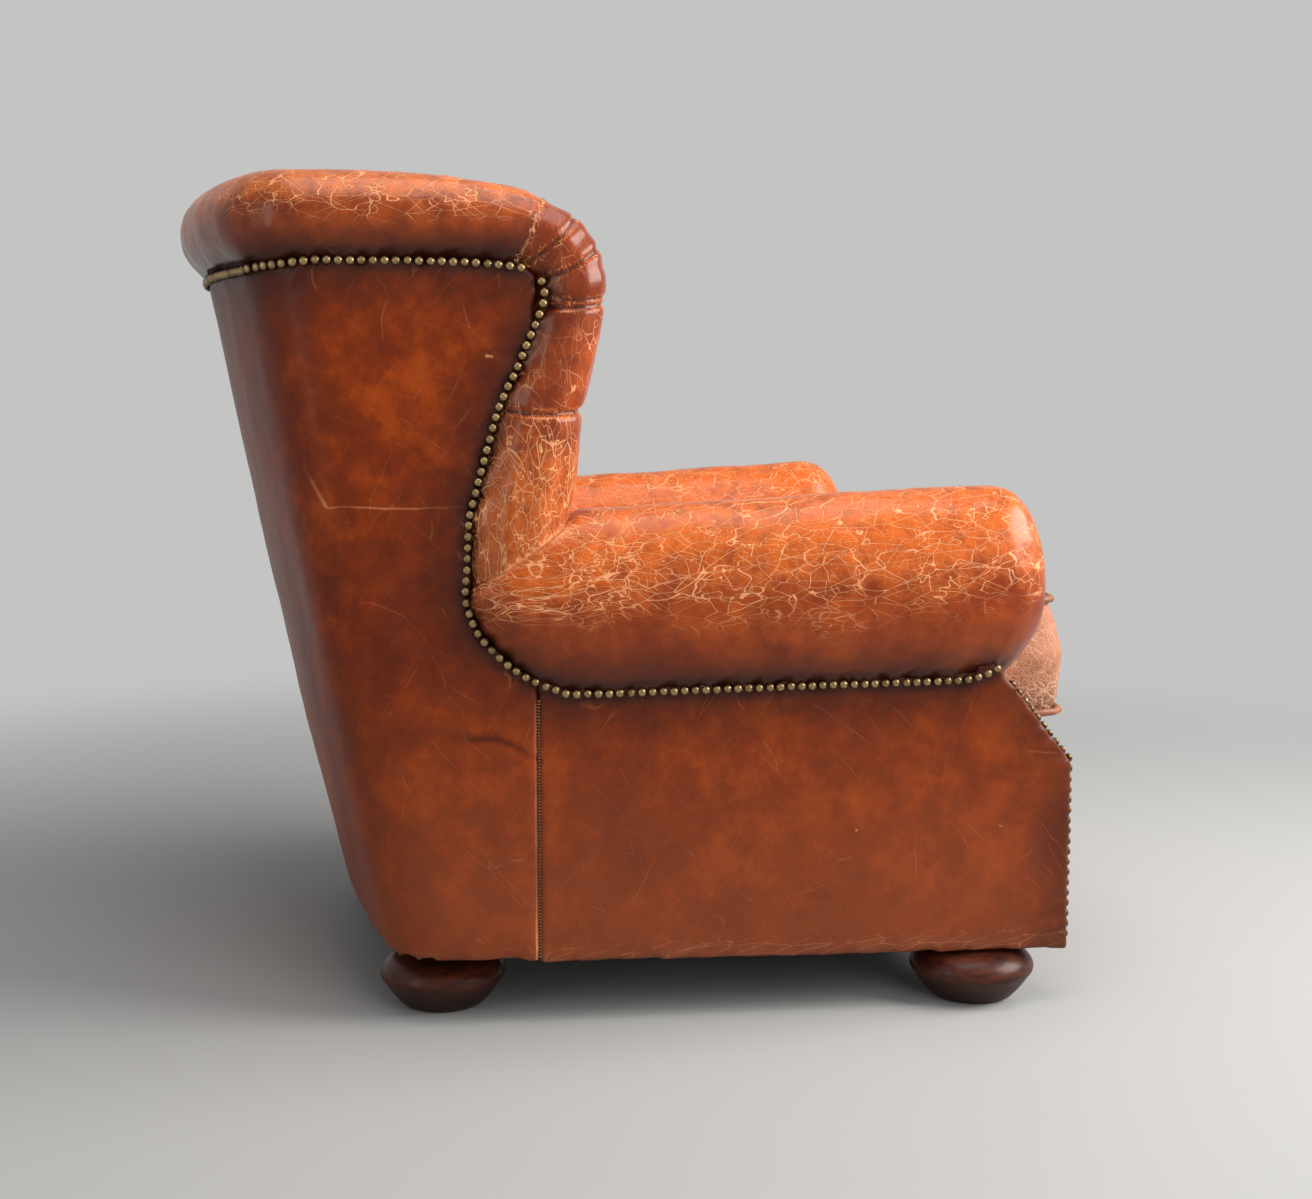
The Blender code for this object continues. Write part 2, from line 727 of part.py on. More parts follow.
def make_wing_board():
    """The plywood side of the wing, which stands on the side rail behind the rolls, with a window to save weight."""
    depth = COVER + GAP
    low, high = RAIL_Z + RAIL_HEIGHT + GAP, TOP_RAIL_Z + TOP_RAIL_HEIGHT
    notch = ARM_SEAT_Z - GAP
    front = [(SEAM_Y + 0.003, low), (SEAM_Y + 0.003, notch)]
    front += [(behind_wing_roll(z), z) for z in (notch, 0.56, 0.62, 0.70, 0.77, high)]
    rear = [(back_y(z) - 0.130, z) for z in (high, low)]
    board = side_plate("wing_board_right", front + rear, depth, WING_PLY, TIMBER)
    window = []
    for z in (0.60, 0.745):
        window.append((wing_edge_y(z) + 0.098, z))
        window.append((back_y(z) - 0.159, z))
    window = [window[0], window[1], window[3], window[2]]
    hole = side_plate("wing_window", window, depth - 0.005, WING_PLY + 0.01, TIMBER)
    CHAIR.objects.unlink(hole)
    CUTTERS.objects.link(hole)
    hole.hide_render = True
    return cut(board, [hole])


def back_pad_rings():
    """Plan sections of the inside back, hollowed for the sitter, which end over the top rail."""
    rings = []
    frame = BACK_FRAME_INSET + BACK_POST_DEPTH + GAP
    depth = COVER + WING_PLY + WING_PAD + 5 * GAP
    for z, front in INSIDE_BACK:
        over_rail = z > TOP_RAIL_Z + TOP_RAIL_HEIGHT
        rear = BACK_PAD_TOP_Y if over_rail else frame_y(z) - frame
        hollow = BACK_HOLLOW * min(1.0, (0.90 - z) / 0.1)
        upper = z > BACK_PAD_LEDGE_Z
        ring = []
        for share in (-1.0, -0.6, 0.0, 0.6, 1.0):
            y = front - hollow * (share**2 - 0.4)
            half = -side_x(y, depth) if upper else BACK_PAD_LOW_HALF
            ring.append((half * share, y, z))
        for share in (1.0, 0.0, -1.0):
            half = -side_x(rear, depth) if upper else BACK_PAD_LOW_HALF
            if over_rail:
                half = min(half, BACK_POST_X + 0.03)
            ring.append((half * share, rear - 0.028 * share**2 * over_rail, z))
        rings.append(ring)
    return rings


def make_inside_back():
    return loft("inside_back", back_pad_rings(), LEATHER)


def make_front_border():
    """The padded panel below the cushion, between the arm facings."""
    half = INNER_HALF_FRONT - GAP
    height = DECK_Z - BASE_Z
    bulge = ((0.0, 0.0), (0.2, 0.006), (0.5, 0.009), (0.8, 0.008), (0.93, 0.005), (0.985, -0.001))
    outline = [(FRONT_Y - forward, BASE_Z + height * share) for share, forward in bulge]
    outline += [(FRONT_Y + 0.006, DECK_Z), (FRONT_Y + COVER, DECK_Z), (FRONT_Y + COVER, BASE_Z)]
    rings = [[(x, y, z) for y, z in outline] for x in (-half, half)]
    return loft("front_border", rings, DARK_LEATHER)


def make_seat_deck():
    """The covered platform that the cushion rests on."""
    front, rear = FRONT_Y + COVER + GAP, interpolate(INSIDE_BACK, DECK_Z) - 0.004
    half = [(-inner_x(y) - GAP, y) for y in (front, rear)]
    outline = [(-half[0][0], front), half[0], half[1], (-half[1][0], rear)]
    return plan_block("seat_deck", outline, DECK_Z - DECK_THICKNESS, DECK_Z, CUSHION_LEATHER)


def cushion_outline(inset, z):
    """The cushion's plan at this height, with rounded corners, moved inwards by an inset."""
    rear = interpolate(INSIDE_BACK, CUSHION_WELT_LOW_Z) - 0.016
    corners = (
        (-CUSHION_HALF_FRONT, CUSHION_FRONT_Y, 180),
        (CUSHION_HALF_FRONT, CUSHION_FRONT_Y, 270),
        (CUSHION_HALF_REAR, rear, 0),
        (-CUSHION_HALF_REAR, rear, 90),
    )
    points = []
    for x, y, start in corners:
        centre = Vector((x - math.copysign(CUSHION_CORNER, x), y - math.copysign(CUSHION_CORNER, y)))
        for step in range(4):
            angle = math.radians(start + 30 * step)
            points.append(centre + (CUSHION_CORNER - inset) * Vector((math.cos(angle), math.sin(angle))))
    lean = CUSHION_LEAN * (z - CUSHION_WELT_LOW_Z) / (CUSHION_WELT_HIGH_Z - CUSHION_WELT_LOW_Z)
    return [(p.x, p.y + lean * (rear - p.y) / (rear - CUSHION_FRONT_Y)) for p in points]


def make_seat_cushion():
    low, high = CUSHION_WELT_LOW_Z, CUSHION_WELT_HIGH_Z
    seat = DECK_Z + GAP
    groove = WELT_RADIUS * 1.09
    belly = (low + high) / 2
    levels = (
        (0.020, seat),
        (groove, low - 0.0028),
        (groove, low + 0.0028),
        (0.0012, low + 0.012),
        (-0.0085, belly),
        (0.0012, high - 0.012),
        (groove, high - 0.0028),
        (groove, high + 0.0028),
        (0.020, high + 0.008),
        (0.034, high + 0.35 * CUSHION_CROWN),
    )
    rings = [[(x, y, z) for x, y in cushion_outline(inset, z)] for inset, z in levels]
    top, middle = rings[-1], CUSHION_FRONT_Y * 0.37
    for share, rise in ((0.72, 0.8), (0.34, 1.0)):
        height = high + CUSHION_CROWN * rise
        rings.append([(x * share, middle + (y - middle) * share, height) for x, y, _ in top])
    return loft("seat_cushion", rings, CUSHION_LEATHER)


def make_cushion_welt(name, z):
    points = [(x, y, z) for x, y in cushion_outline(0.0, z)]
    return poly_tube(name, points, [WELT_RADIUS] * len(points), 1, LEATHER, cyclic=True)


# Timber frame


def make_front_post():
    """The arm stump, chamfered under the sloping facing."""
    (foot_y, _), (knee_y, knee_z), _ = facing_line(COVER)
    lean = (BROW_Y - FRONT_Y) / (BROW_Z - KNEE_Z)
    top = ARM_SEAT_Z - ARM_RAIL_HEIGHT - 2 * GAP
    front = foot_y + 2 * GAP
    outline = (
        (front, RAIL_Z),
        (front, knee_z - 0.002),
        (front + lean * (top - knee_z) + 0.002, top),
        (front + POST_DEPTH, top),
        (front + POST_DEPTH, RAIL_Z),
    )
    rings = [
        [(side_x(y, COVER + GAP), y, z) for y, z in outline],
        [(inner_x(y, ARM_PAD + 2 * GAP), y, z) for y, z in outline],
    ]
    return loft("front_post_right", rings, TIMBER)


def make_arm_rail():
    slope_y = facing_line(COVER)[2][0]
    front = slope_y + 2 * GAP
    rear = SEAM_Y + 0.002
    top = ARM_SEAT_Z - GAP
    outline = [(side_x(front, COVER + GAP), front), (inner_x(front, ARM_PAD + 2 * GAP), front)]
    outline += [(inner_x(rear, ARM_PAD + 2 * GAP), rear), (side_x(rear, COVER + GAP), rear)]
    return plan_block("arm_rail_right", outline, top - ARM_RAIL_HEIGHT, top, TIMBER)


def side_rail_ends():
    front = FRONT_Y + COVER + POST_DEPTH + 3 * GAP
    return front, corner_start_y(RAIL_Z) - 0.005


def make_side_rail():
    front, rear = side_rail_ends()
    near, far = COVER + GAP, COVER + GAP + RAIL_THICKNESS
    step = near + HEM_TUCK + 0.002
    places = ((front, near), (front, far), (rear, far), (rear, step), (SEAM_Y + 0.006, step), (SEAM_Y, near))
    outline = [(side_x(y, d), y) for y, d in places]
    return plan_block("side_rail_right", outline, RAIL_Z, RAIL_Z + RAIL_HEIGHT, TIMBER)


def make_front_rail():
    half = INNER_HALF_FRONT + ARM_PAD - 0.0015
    front = FRONT_Y + COVER + 2 * GAP
    outline = [(-half, front), (half, front), (half, front + RAIL_THICKNESS), (-half, front + RAIL_THICKNESS)]
    return plan_block("front_rail", outline, RAIL_Z, FRONT_RAIL_TOP_Z, TIMBER)


def make_bowed_rail(name, low, high, outer):
    """A rail sawn to the bow of the back, which joins the two sides."""
    rings = []
    for z in (low, high):
        outside = whole_back_outline(z, outer)
        inside = whole_back_outline(z, outer + RAIL_THICKNESS)
        rings.append([(x, y, z) for x, y in outside + inside[::-1]])
    return loft(name, rings, TIMBER)


def raked_bar(name, x_low, x_high, z_low, z_high, inset, depth):
    """A bar that leans with the back, between two heights."""
    rings = []
    for z in (z_low, z_high):
        rear = frame_y(z) - inset
        rings.append([(x_low, rear, z), (x_high, rear, z), (x_high, rear - depth, z), (x_low, rear - depth, z)])
    return loft(name, rings, TIMBER)


def make_rear_post():
    half = BACK_POST_WIDTH / 2
    low, high = RAIL_Z + RAIL_HEIGHT + GAP, TOP_RAIL_Z - GAP
    return raked_bar("rear_post_right", -BACK_POST_X - half, -BACK_POST_X + half, low, high,
                     BACK_FRAME_INSET, BACK_POST_DEPTH)


def make_cross_rail(name, low, height):
    half = BACK_POST_X - BACK_POST_WIDTH / 2 - GAP
    return raked_bar(name, -half, half, low, low + height, BACK_FRAME_INSET + 0.003, BACK_POST_DEPTH - 0.006)


def make_corner_blocks():
    front, rear = side_rail_ends()
    inset = COVER + RAIL_THICKNESS + 2 * GAP
    near = front + GAP
    reach = 0.085
    outline = [(side_x(near, inset), near), (side_x(near, inset + reach), near),
               (side_x(near + reach, inset), near + reach)]
    front_block = plan_block("corner_block_front_right", outline, RAIL_Z, RAIL_Z + 0.035, TIMBER)
    inner_edge = rear - 0.07
    outline = [(side_x(inner_edge, inset), inner_edge), (-BACK_POST_X + 0.035, inner_edge + 0.03),
               (-BACK_POST_X + 0.035, rear), (side_x(rear, inset), rear)]
    rear_block = plan_block("corner_block_rear_right", outline, RAIL_Z, RAIL_Z + 0.035, TIMBER)
    return front_block, rear_block


def make_spring(index):
    """One zigzag spring from the front rail to the spring rail."""
    x = (index - (SPRING_COUNT - 1) / 2) * SPRING_PITCH_X
    radius = SPRING_WIRE / 2
    z = FRONT_RAIL_TOP_Z + radius + GAP
    front = FRONT_Y + COVER + 0.016
    rear = back_y(z) - BACK_FRAME_INSET - 0.012
    points = []
    for loop in range(SPRING_LOOPS + 1):
        y = lerp(front, rear, loop / SPRING_LOOPS)
        side = SPRING_HALF_WIDTH if loop % 2 else -SPRING_HALF_WIDTH
        points.append((x - side, y, z))
        if loop < SPRING_LOOPS:
            points.append((x + side, y, z))
    cleaned = [points[0]]
    for point in points[1:]:
        if (Vector(point) - Vector(cleaned[-1])).length > 0.001:
            cleaned.append(point)
    return poly_tube(f"seat_spring_{index + 1}", cleaned, [radius] * len(cleaned), 0, STEEL)


def make_dust_cloth():
    """The thin black cloth under the frame."""
    z = RAIL_Z - GAP
    front = FRONT_Y + COVER + 2 * GAP
    tuck = HEM_TUCK + COVER + 0.003
    half = back_outline(z, tuck, corner_steps=3, bow_steps=2)
    side = [(side_x(front, COVER + 2 * GAP), front), (side_x(0.0, COVER + 0.004), 0.0)]
    outline = side + half
    outline += [(-x, y) for x, y in outline[-2::-1]]
    return plan_block("dust_cloth", outline, z - DUST_CLOTH, z, CLOTH)


def make_foot(name, x, y):
    mesh = bpy.data.meshes.new(name)
    bm = bmesh.new()
    verts = [bm.verts.new((r, 0.0, z)) for r, z in FOOT_PROFILE]
    for a, b in zip(verts, verts[1:]):
        bm.edges.new((a, b))
    bm.to_mesh(mesh)
    bm.free()
    foot = add_object(name, mesh, FOOT_WOOD)
    foot.location = (x, y, 0.0)
    turn = foot.modifiers.new("turning", "SCREW")
    turn.steps = FOOT_SIDES
    turn.render_steps = FOOT_SIDES
    turn.use_merge_vertices = True
    turn.merge_threshold = 0.0001
    return foot


# Nail trim


def nail_strip(name, path, normals):
    """A row of domed nail heads, joined edge to edge, along a path on the cover."""
    lengths = [0.0]
    for a, b in zip(path, path[1:]):
        lengths.append(lengths[-1] + (b - a).length)
    count = max(2, round(lengths[-1] / NAIL_PITCH))
    rows = [(d, *p, *n) for d, p, n in zip(lengths, path, normals)]
    rings = []
    for half_step in range(2 * count + 1):
        distance = lengths[-1] * half_step / (2 * count)
        here = Vector([interpolate(rows, distance, c) for c in (1, 2, 3)])
        ahead = Vector([interpolate(rows, min(distance + 0.002, lengths[-1]), c) for c in (1, 2, 3)])
        behind = Vector([interpolate(rows, max(distance - 0.002, 0.0), c) for c in (1, 2, 3)])
        normal = Vector([interpolate(rows, distance, c) for c in (4, 5, 6)]).normalized()
        across = (ahead - behind).cross(normal).normalized()
        nail = half_step % 2
        half = NAIL_RADIUS if nail else NAIL_RADIUS * 0.35
        height = NAIL_HEIGHT if nail else NAIL_HEIGHT * 0.3
        base = here + normal * 2 * GAP
        rings.append([base + across * half, base + normal * height, base - across * half])
    return loft(name, rings, BRASS)


def arm_nail_line():
    """Where the arm roll meets the outside arm, just clear of the roll."""
    edge = []
    start = ARM_FRONT_Y + ARM_FRONT_ROUND
    places = [start + 0.004, start + 0.03, *(lerp(ARM_CHIN_Y, ARM_NOSE_START_Y, k / 3) for k in range(4))]
    places += [lerp(ARM_NOSE_START_Y, ARM_NOSE_Y, share) for share in (0.2, 0.4, 0.55, 0.68, 0.78, 0.86, 0.91)]
    for y in places:
        centre_x, half, centre_z, _, down = arm_section(y)
        across = min(1.0, (centre_x - side_x(y)) / half)
        edge.append(Vector((y, centre_z - down * math.sqrt(1 - across**2))))
    points = []
    for i, point in enumerate(edge):
        along = (edge[min(i + 1, len(edge) - 1)] - edge[max(i - 1, 0)]).normalized()
        moved = point + Vector((along.y, -along.x)) * NAIL_EDGE
        points.append((moved.x, moved.y))
    return points + [(ARM_NOSE_Y + 0.0022, ARM_CENTRE_Z + 0.004)]


def wing_nail_line():
    """Where the wing roll meets the wing panel."""
    return [row[2:4] for row in WING_ROLL]


def make_side_nails():
    line = arm_nail_line() + wing_nail_line()[1:-2]
    flat = smooth_path([Vector((y, z, 0)) for y, z in line], 5)
    path = [Vector((side_x(p.x), p.x, p.y)) for p in flat]
    outward = Vector((-1, SIDE_TAPER, 0)).normalized()
    return nail_strip("nail_row_side_right", path, [outward] * len(path))


def top_nail_z(inset):
    """The row's height under the top roll, where the roll's centre line is this far inside the outline."""
    z = TOP_ROLL_Z - TOP_ROLL_RADIUS
    for _ in range(8):
        depth = inset - (back_y(TOP_ROLL_Z) - back_y(z))
        z = TOP_ROLL_Z - math.sqrt(TOP_ROLL_RADIUS**2 - depth**2) - NAIL_EDGE
    return z


def make_top_nails():
    """The row under the top roll, from one wing round the back to the other."""
    side_z = TOP_ROLL_Z - math.sqrt(TOP_ROLL_RADIUS**2 - ROLL_DEPTH**2) - NAIL_EDGE
    back_z = top_nail_z(TOP_ROLL_INSET)
    corner_y, corner_z = wing_nail_line()[-2]
    start_y = corner_y + 0.004
    turn = corner_start_y(side_z)
    outward = Vector((-1, SIDE_TAPER, 0)).normalized()
    path, normals = [], []
    for share, lift in ((0.0, 0.0), (0.12, 0.5), (0.3, 0.85), (0.6, 1.0), (0.85, 1.0)):
        y = lerp(start_y, turn, share)
        path.append(Vector((side_x(y), y, lerp(corner_z, side_z, lift))))
        normals.append(outward)
    steps = 8
    for i in range(steps + 6):
        z = lerp(side_z, back_z, min(1.0, i / steps))
        outline = back_outline(z, 0.0, corner_steps=steps, bow_steps=5)
        here = Vector((*outline[i], z))
        if i < steps + 5:
            along = Vector((*outline[i + 1], z)) - (path[-1] if i == 0 else Vector((*outline[i - 1], z)))
        else:
            along = Vector((1, 0, 0))
        path.append(here)
        normals.append(Vector((-along.y, along.x, -BACK_RAKE * along.x)).normalized())
    flipped = [Vector((-p.x, p.y, p.z)) for p in path[-2::-1]]
    flipped_normals = [Vector((-n.x, n.y, n.z)) for n in normals[-2::-1]]
    return nail_strip("nail_row_top", path + flipped, normals + flipped_normals)


def make_facing_nails():
    (y0, z0), (y1, z1), _ = facing_line()
    lean = Vector((0, BROW_Y - FRONT_Y, BROW_Z - KNEE_Z)).normalized()
    slope = Vector((0, -lean.z, lean.y))
    forward = Vector((0, -1, 0))
    inset = COVER + NAIL_RADIUS
    line = [(y0, z0 + 0.008, forward), (y1, z1 - 0.012, forward), (y1 - 0.001, z1 + 0.0003, (forward + slope).normalized()),
            (y1 + lean.y * 0.012, z1 + lean.z * 0.012, slope), (BROW_Y - 0.014, BROW_Z - 0.018, slope)]
    path = [Vector((side_x(y, inset), y, z)) for y, z, _ in line]
    return nail_strip("nail_row_facing_right", path, [n for _, _, n in line])


# Assembly


def build():
    arm_roll = make_arm_roll()
    wing_roll = make_wing_roll()
    top_roll = make_top_roll()
    arm_cutter = grown(arm_roll, "arm_cutter_right")
    wing_cutter = grown(wing_roll, "wing_cutter_right")
    top_cutter = grown(top_roll, "top_cutter")
    rolls = [arm_cutter, wing_cutter, top_cutter]
    all_rolls = rolls + [mirror_pair(arm_cutter), mirror_pair(wing_cutter)]

    mirror_pair(arm_roll)
    mirror_pair(cut(wing_roll, [arm_cutter]))
    cut(make_rear_cover(), all_rolls)
    inside_back = make_inside_back()
    back_cutter = grown(inside_back, "back_cutter")
    cut(inside_back, all_rolls)
    for piece, cutters in (
        (make_outside_arm(), [arm_cutter]),
        (make_arm_facing(), [arm_cutter]),
        (make_inside_arm(), [arm_cutter, back_cutter]),
        (make_inside_wing(), rolls),
    ):
        mirror_pair(cut(piece, cutters))
    make_front_border()
    cut(make_seat_deck(), [back_cutter])
    make_seat_cushion()
    make_cushion_welt("cushion_welt_lower", CUSHION_WELT_LOW_Z)
    make_cushion_welt("cushion_welt_upper", CUSHION_WELT_HIGH_Z)

    mirror_pair(make_wing_board())
    for piece in (make_front_post(), make_arm_rail(), make_side_rail(), make_rear_post(), *make_corner_blocks()):
        mirror_pair(piece)
    make_front_rail()
    rail_top = RAIL_Z + RAIL_HEIGHT
    make_bowed_rail("rear_rail", RAIL_Z, rail_top, COVER + HEM_TUCK + 0.003)
    make_bowed_rail("top_rail", TOP_RAIL_Z, TOP_RAIL_Z + TOP_RAIL_HEIGHT, COVER + 0.002)
    make_cross_rail("lumbar_rail", LUMBAR_RAIL_Z, 0.05)
    make_cross_rail("spring_rail", SPRING_RAIL_Z, FRONT_RAIL_TOP_Z - SPRING_RAIL_Z)
    for index in range(SPRING_COUNT):
        make_spring(index)
    make_dust_cloth()
    for end, (x, y) in (("front", FRONT_FOOT), ("rear", REAR_FOOT)):
        make_foot(f"foot_{end}_right", -x, y)
        make_foot(f"foot_{end}_left", x, y)

    mirror_pair(make_side_nails())
    make_top_nails()
    mirror_pair(make_facing_nails())


build()
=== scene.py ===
"""Looks of the worn wing-back club chair: cracked leather rolls, mottled panels, nail heads and turned feet.

In metres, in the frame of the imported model. The chair faces -Y, and its right, the near side, is at -X.
"""

import json
import math

import bmesh
import bpy
import numpy as np
from mathutils import Matrix, Vector, noise
from mathutils.kdtree import KDTree


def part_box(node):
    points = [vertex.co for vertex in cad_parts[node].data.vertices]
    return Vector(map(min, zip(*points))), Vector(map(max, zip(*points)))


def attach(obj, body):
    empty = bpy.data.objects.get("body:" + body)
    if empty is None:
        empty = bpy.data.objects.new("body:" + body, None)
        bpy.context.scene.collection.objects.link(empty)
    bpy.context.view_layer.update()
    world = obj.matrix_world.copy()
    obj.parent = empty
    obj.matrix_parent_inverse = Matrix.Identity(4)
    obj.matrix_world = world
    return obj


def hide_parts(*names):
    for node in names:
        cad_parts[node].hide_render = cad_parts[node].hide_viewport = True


# Camera, fitted to the photograph
CAMERA_PLACE = Vector((-2.2261, 0.4547, 0.6834))
CAMERA_TURN = math.radians(-103)
CAMERA_TILT = math.radians(-6.59)
LENS_MM = 50.0
SENSOR_MM = 36.0

# Side panel, which tapers in to the back
FRONT_Y = -0.440
HALF_WIDTH_FRONT = 0.397
SIDE_TAPER = math.tan(math.radians(5.5))
SEAM_Y = 0.147
SEAM_TOP_Z = 0.356

# Where the arm roll and the wing roll meet, seen from the side
JOINT_Y = 0.152
JOINT_Z = 0.494

# Nail heads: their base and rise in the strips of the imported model, and how far a reading may be out
NAIL_BASE_WIDTH = 0.0098
NAIL_STRIP_RISE = 0.0040
NAIL_WIDTH_SLACK = 0.00012
NAIL_RISE_SLACK = 0.0002

# Nail heads as they are made here, and how far each may lean, differ in size and stray
NAIL_RADIUS = 0.0051
NAIL_RISE = 0.0042
NAIL_SINK = 0.0008
FACING_NAIL_LIFT = 0.0020
NAIL_LEAN = 0.16
NAIL_SIZE_CHANGE = 0.07
NAIL_DRIFT = 0.0006

# Side panels: points further out than this lie on them, and their lower edge
ON_SIDE_X = 0.3
HEM_Z = 0.074

# Side seam: how far each cover is drawn up to it, and its stitches, half sizes along x, y and z
SEAM_CLOSING = 0.0012
STITCH_PITCH = 0.0034
STITCH_HALF_SIZES = (0.0005, 0.00176, 0.00088)
STITCH_SINK = 0.0002

# Level scratch on the upper part of the right side
LONG_SCUFF_Z = 0.5605
LONG_SCUFF_REAR_Y = 0.363

# Scuffs of the right side, seen from the side: y, z, half length, half width, turn and strength
SIDE_SCUFFS = (
    (0.1830, 0.1790, 0.034, 0.0070, -0.34, 0.65),
    (0.0890, 0.2870, 0.026, 0.0070, -0.35, 0.55),
    (0.1960, 0.7170, 0.0060, 0.0014, 0.0, 1.0),
    (0.3950, 0.4800, 0.0070, 0.0018, 0.3, 1.0),
    (-0.1980, 0.2040, 0.0040, 0.0024, -0.6, 1.0),
    (-0.3600, 0.2040, 0.0045, 0.0022, 0.5, 1.0),
    (0.2100, 0.5550, 0.040, 0.0030, 0.05, 0.35),
)

# Creased fold beside the seam: its middle, and half its length
CREASE_MIDDLE = (0.190, 0.3080)
CREASE_REACH = 0.040

# Pleats of the wing roll: a point on the outer edge, a point at the nails, depth and half width
PLEATS = (
    ((0.0710, 0.7725), (0.146, 0.7695), 0.0036, 0.0030),
    ((0.0690, 0.7805), (0.130, 0.7770), 0.0024, 0.0024),
    ((0.0762, 0.8315), (0.142, 0.7937), 0.0030, 0.0034),
    ((0.0954, 0.8698), (0.1585, 0.8094), 0.0030, 0.0034),
    ((0.0965, 0.6607), (0.190, 0.6638), 0.0042, 0.0036),
)

# Seam between arm roll and wing roll, seen from the side: two points on it, how high it reaches, how deep and
# wide it dents the hide, and how far each roll is drawn up to it
MITRE_SEAM = ((0.093, 0.556), (0.220, 0.470))
MITRE_HIGHEST_Z = 0.6
MITRE_DENT = 0.0022
MITRE_DENT_WIDTH = 0.0045
MITRE_CLOSING = 0.0014

# Seam between wing roll and top roll, seen from the side: two points on it, how low and how far back it
# reaches, and how far its lip stands proud and over what width
TOP_SEAM = ((0.134, 0.884), (0.167, 0.811))
TOP_SEAM_LOWEST_Z = 0.79
TOP_SEAM_REARMOST_Y = 0.2
TOP_SEAM_LIP = 0.0016
TOP_SEAM_LIP_WIDTH = 0.0022

# Seat cushion: frames of its stuffing, the most a point may move, its crown, and where its flat base ends
CUSHION_FRAMES = 14
CUSHION_CAP = 0.005
CUSHION_CROWN = 0.0022
CUSHION_BASE_Z = (0.297, 0.310)

# Foot: radius and height of each point of its turned profile
FOOT_PROFILE = (
    (0.0, 0.0812), (0.025, 0.0812), (0.0255, 0.0600), (0.046, 0.0577), (0.0560, 0.0550),
    (0.0655, 0.0475), (0.0706, 0.0385), (0.0700, 0.0315), (0.0640, 0.0250), (0.0590, 0.0165),
    (0.0500, 0.0060), (0.0440, 0.0008), (0.0420, 0.0), (0.0, 0.0),
)
FOOT_STEPS = 48

# Points closer than this are one
MERGE_DISTANCE = 0.00002

# Floor, background and even light
FLOOR_COLOUR = (0.42, 0.415, 0.405)
FLOOR_FADE = (0.9, 2.4)
FLOOR_HALF_SIZE = 30.0
FLOOR_Z = -0.0005
BACKGROUND = (0.55, 0.55, 0.545)
AMBIENT = (0.92, 0.95, 1.0)
AMBIENT_STRENGTH = 0.24

# Leather: its plain, dark and light colour on each part
ARM_COLOURS = ((0.46, 0.076, 0.005), (0.21, 0.028, 0.003), (0.68, 0.130, 0.009))
WING_COLOURS = ((0.42, 0.066, 0.006), (0.18, 0.025, 0.004), (0.62, 0.120, 0.012))
TOP_COLOURS = ((0.40, 0.066, 0.007), (0.14, 0.021, 0.004), (0.64, 0.135, 0.015))
INNER_COLOURS = ((0.46, 0.082, 0.008), (0.22, 0.035, 0.005), (0.62, 0.135, 0.015))
PANEL_COLOURS = ((0.240, 0.032, 0.0028), (0.115, 0.016, 0.0036), (0.35, 0.057, 0.0042))
LEATHER_CREAM = (0.86, 0.38, 0.165)
# Dark colour of the rolls' painted shade, under them, in pleat creases, along seam lines and by the nails,
# where it stands for dirt too
ROLL_GRIME_AND_SHADE = (0.030, 0.008, 0.005)
# Dark colour of the panels' painted shade, below the nails and the rolls, along the lower edge and in the
# crease, and of dirt by the nails
PANEL_GRIME_AND_SHADE = (0.032, 0.010, 0.007)
PANEL_LOWER_ORANGE = (0.28, 0.072, 0.028)
# Dark reddish brown of random patches on the panels and of the painted shade at their rear
PANEL_PURPLE_AND_SHADE = (0.090, 0.024, 0.016)
PANEL_RUBBED = (0.66, 0.27, 0.12)
# Painted shade in the groove of the side seam
SEAM_GROOVE_SHADE = (0.020, 0.007, 0.005)
BRASS_DARK = (0.105, 0.058, 0.024)
BRASS_BRIGHT = (0.38, 0.265, 0.125)

# Cracks of the rolls: cells to the metre, and half the width of a line
LEFT_CRACKS = (50.0, 0.00030)
RIGHT_CRACKS = (66.0, 0.00024)
LONG_CRACKS = (36.0, 0.00022)
SMALL_CRACKS = (112.0, 0.00027)

# Share of a line's half width that is fully pale
CRACK_CORE = 0.35
LONG_CRACK_CORE = 0.4

# Cracks that run along a roll: how far each set leans, and how much shorter its cells are across than along
CRACK_SETS = ((-0.26, 0.36), (0.20, 0.36), (0.0, 0.55))

# Where cracks fan out from the joint of arm and wing: within what reach they draw closer, and the share of it
# inside which they draw no closer
FAN_REACH = 0.15
FAN_HUB = 0.6


def side_x(y):
    """How far out the right side panel lies at this depth."""
    return -HALF_WIDTH_FRONT + SIDE_TAPER * (y - FRONT_Y)


def smoothstep(low, high, value):
    """0 below low and 1 above high, smoothly between."""
    t = np.clip((value - low) / (high - low), 0.0, 1.0)
    return t * t * (3 - 2 * t)


def fading(distance, width, power=2):
    """1 at no distance, fading away over this width."""
    return np.exp(-((distance / width) ** power))


# Shader maths


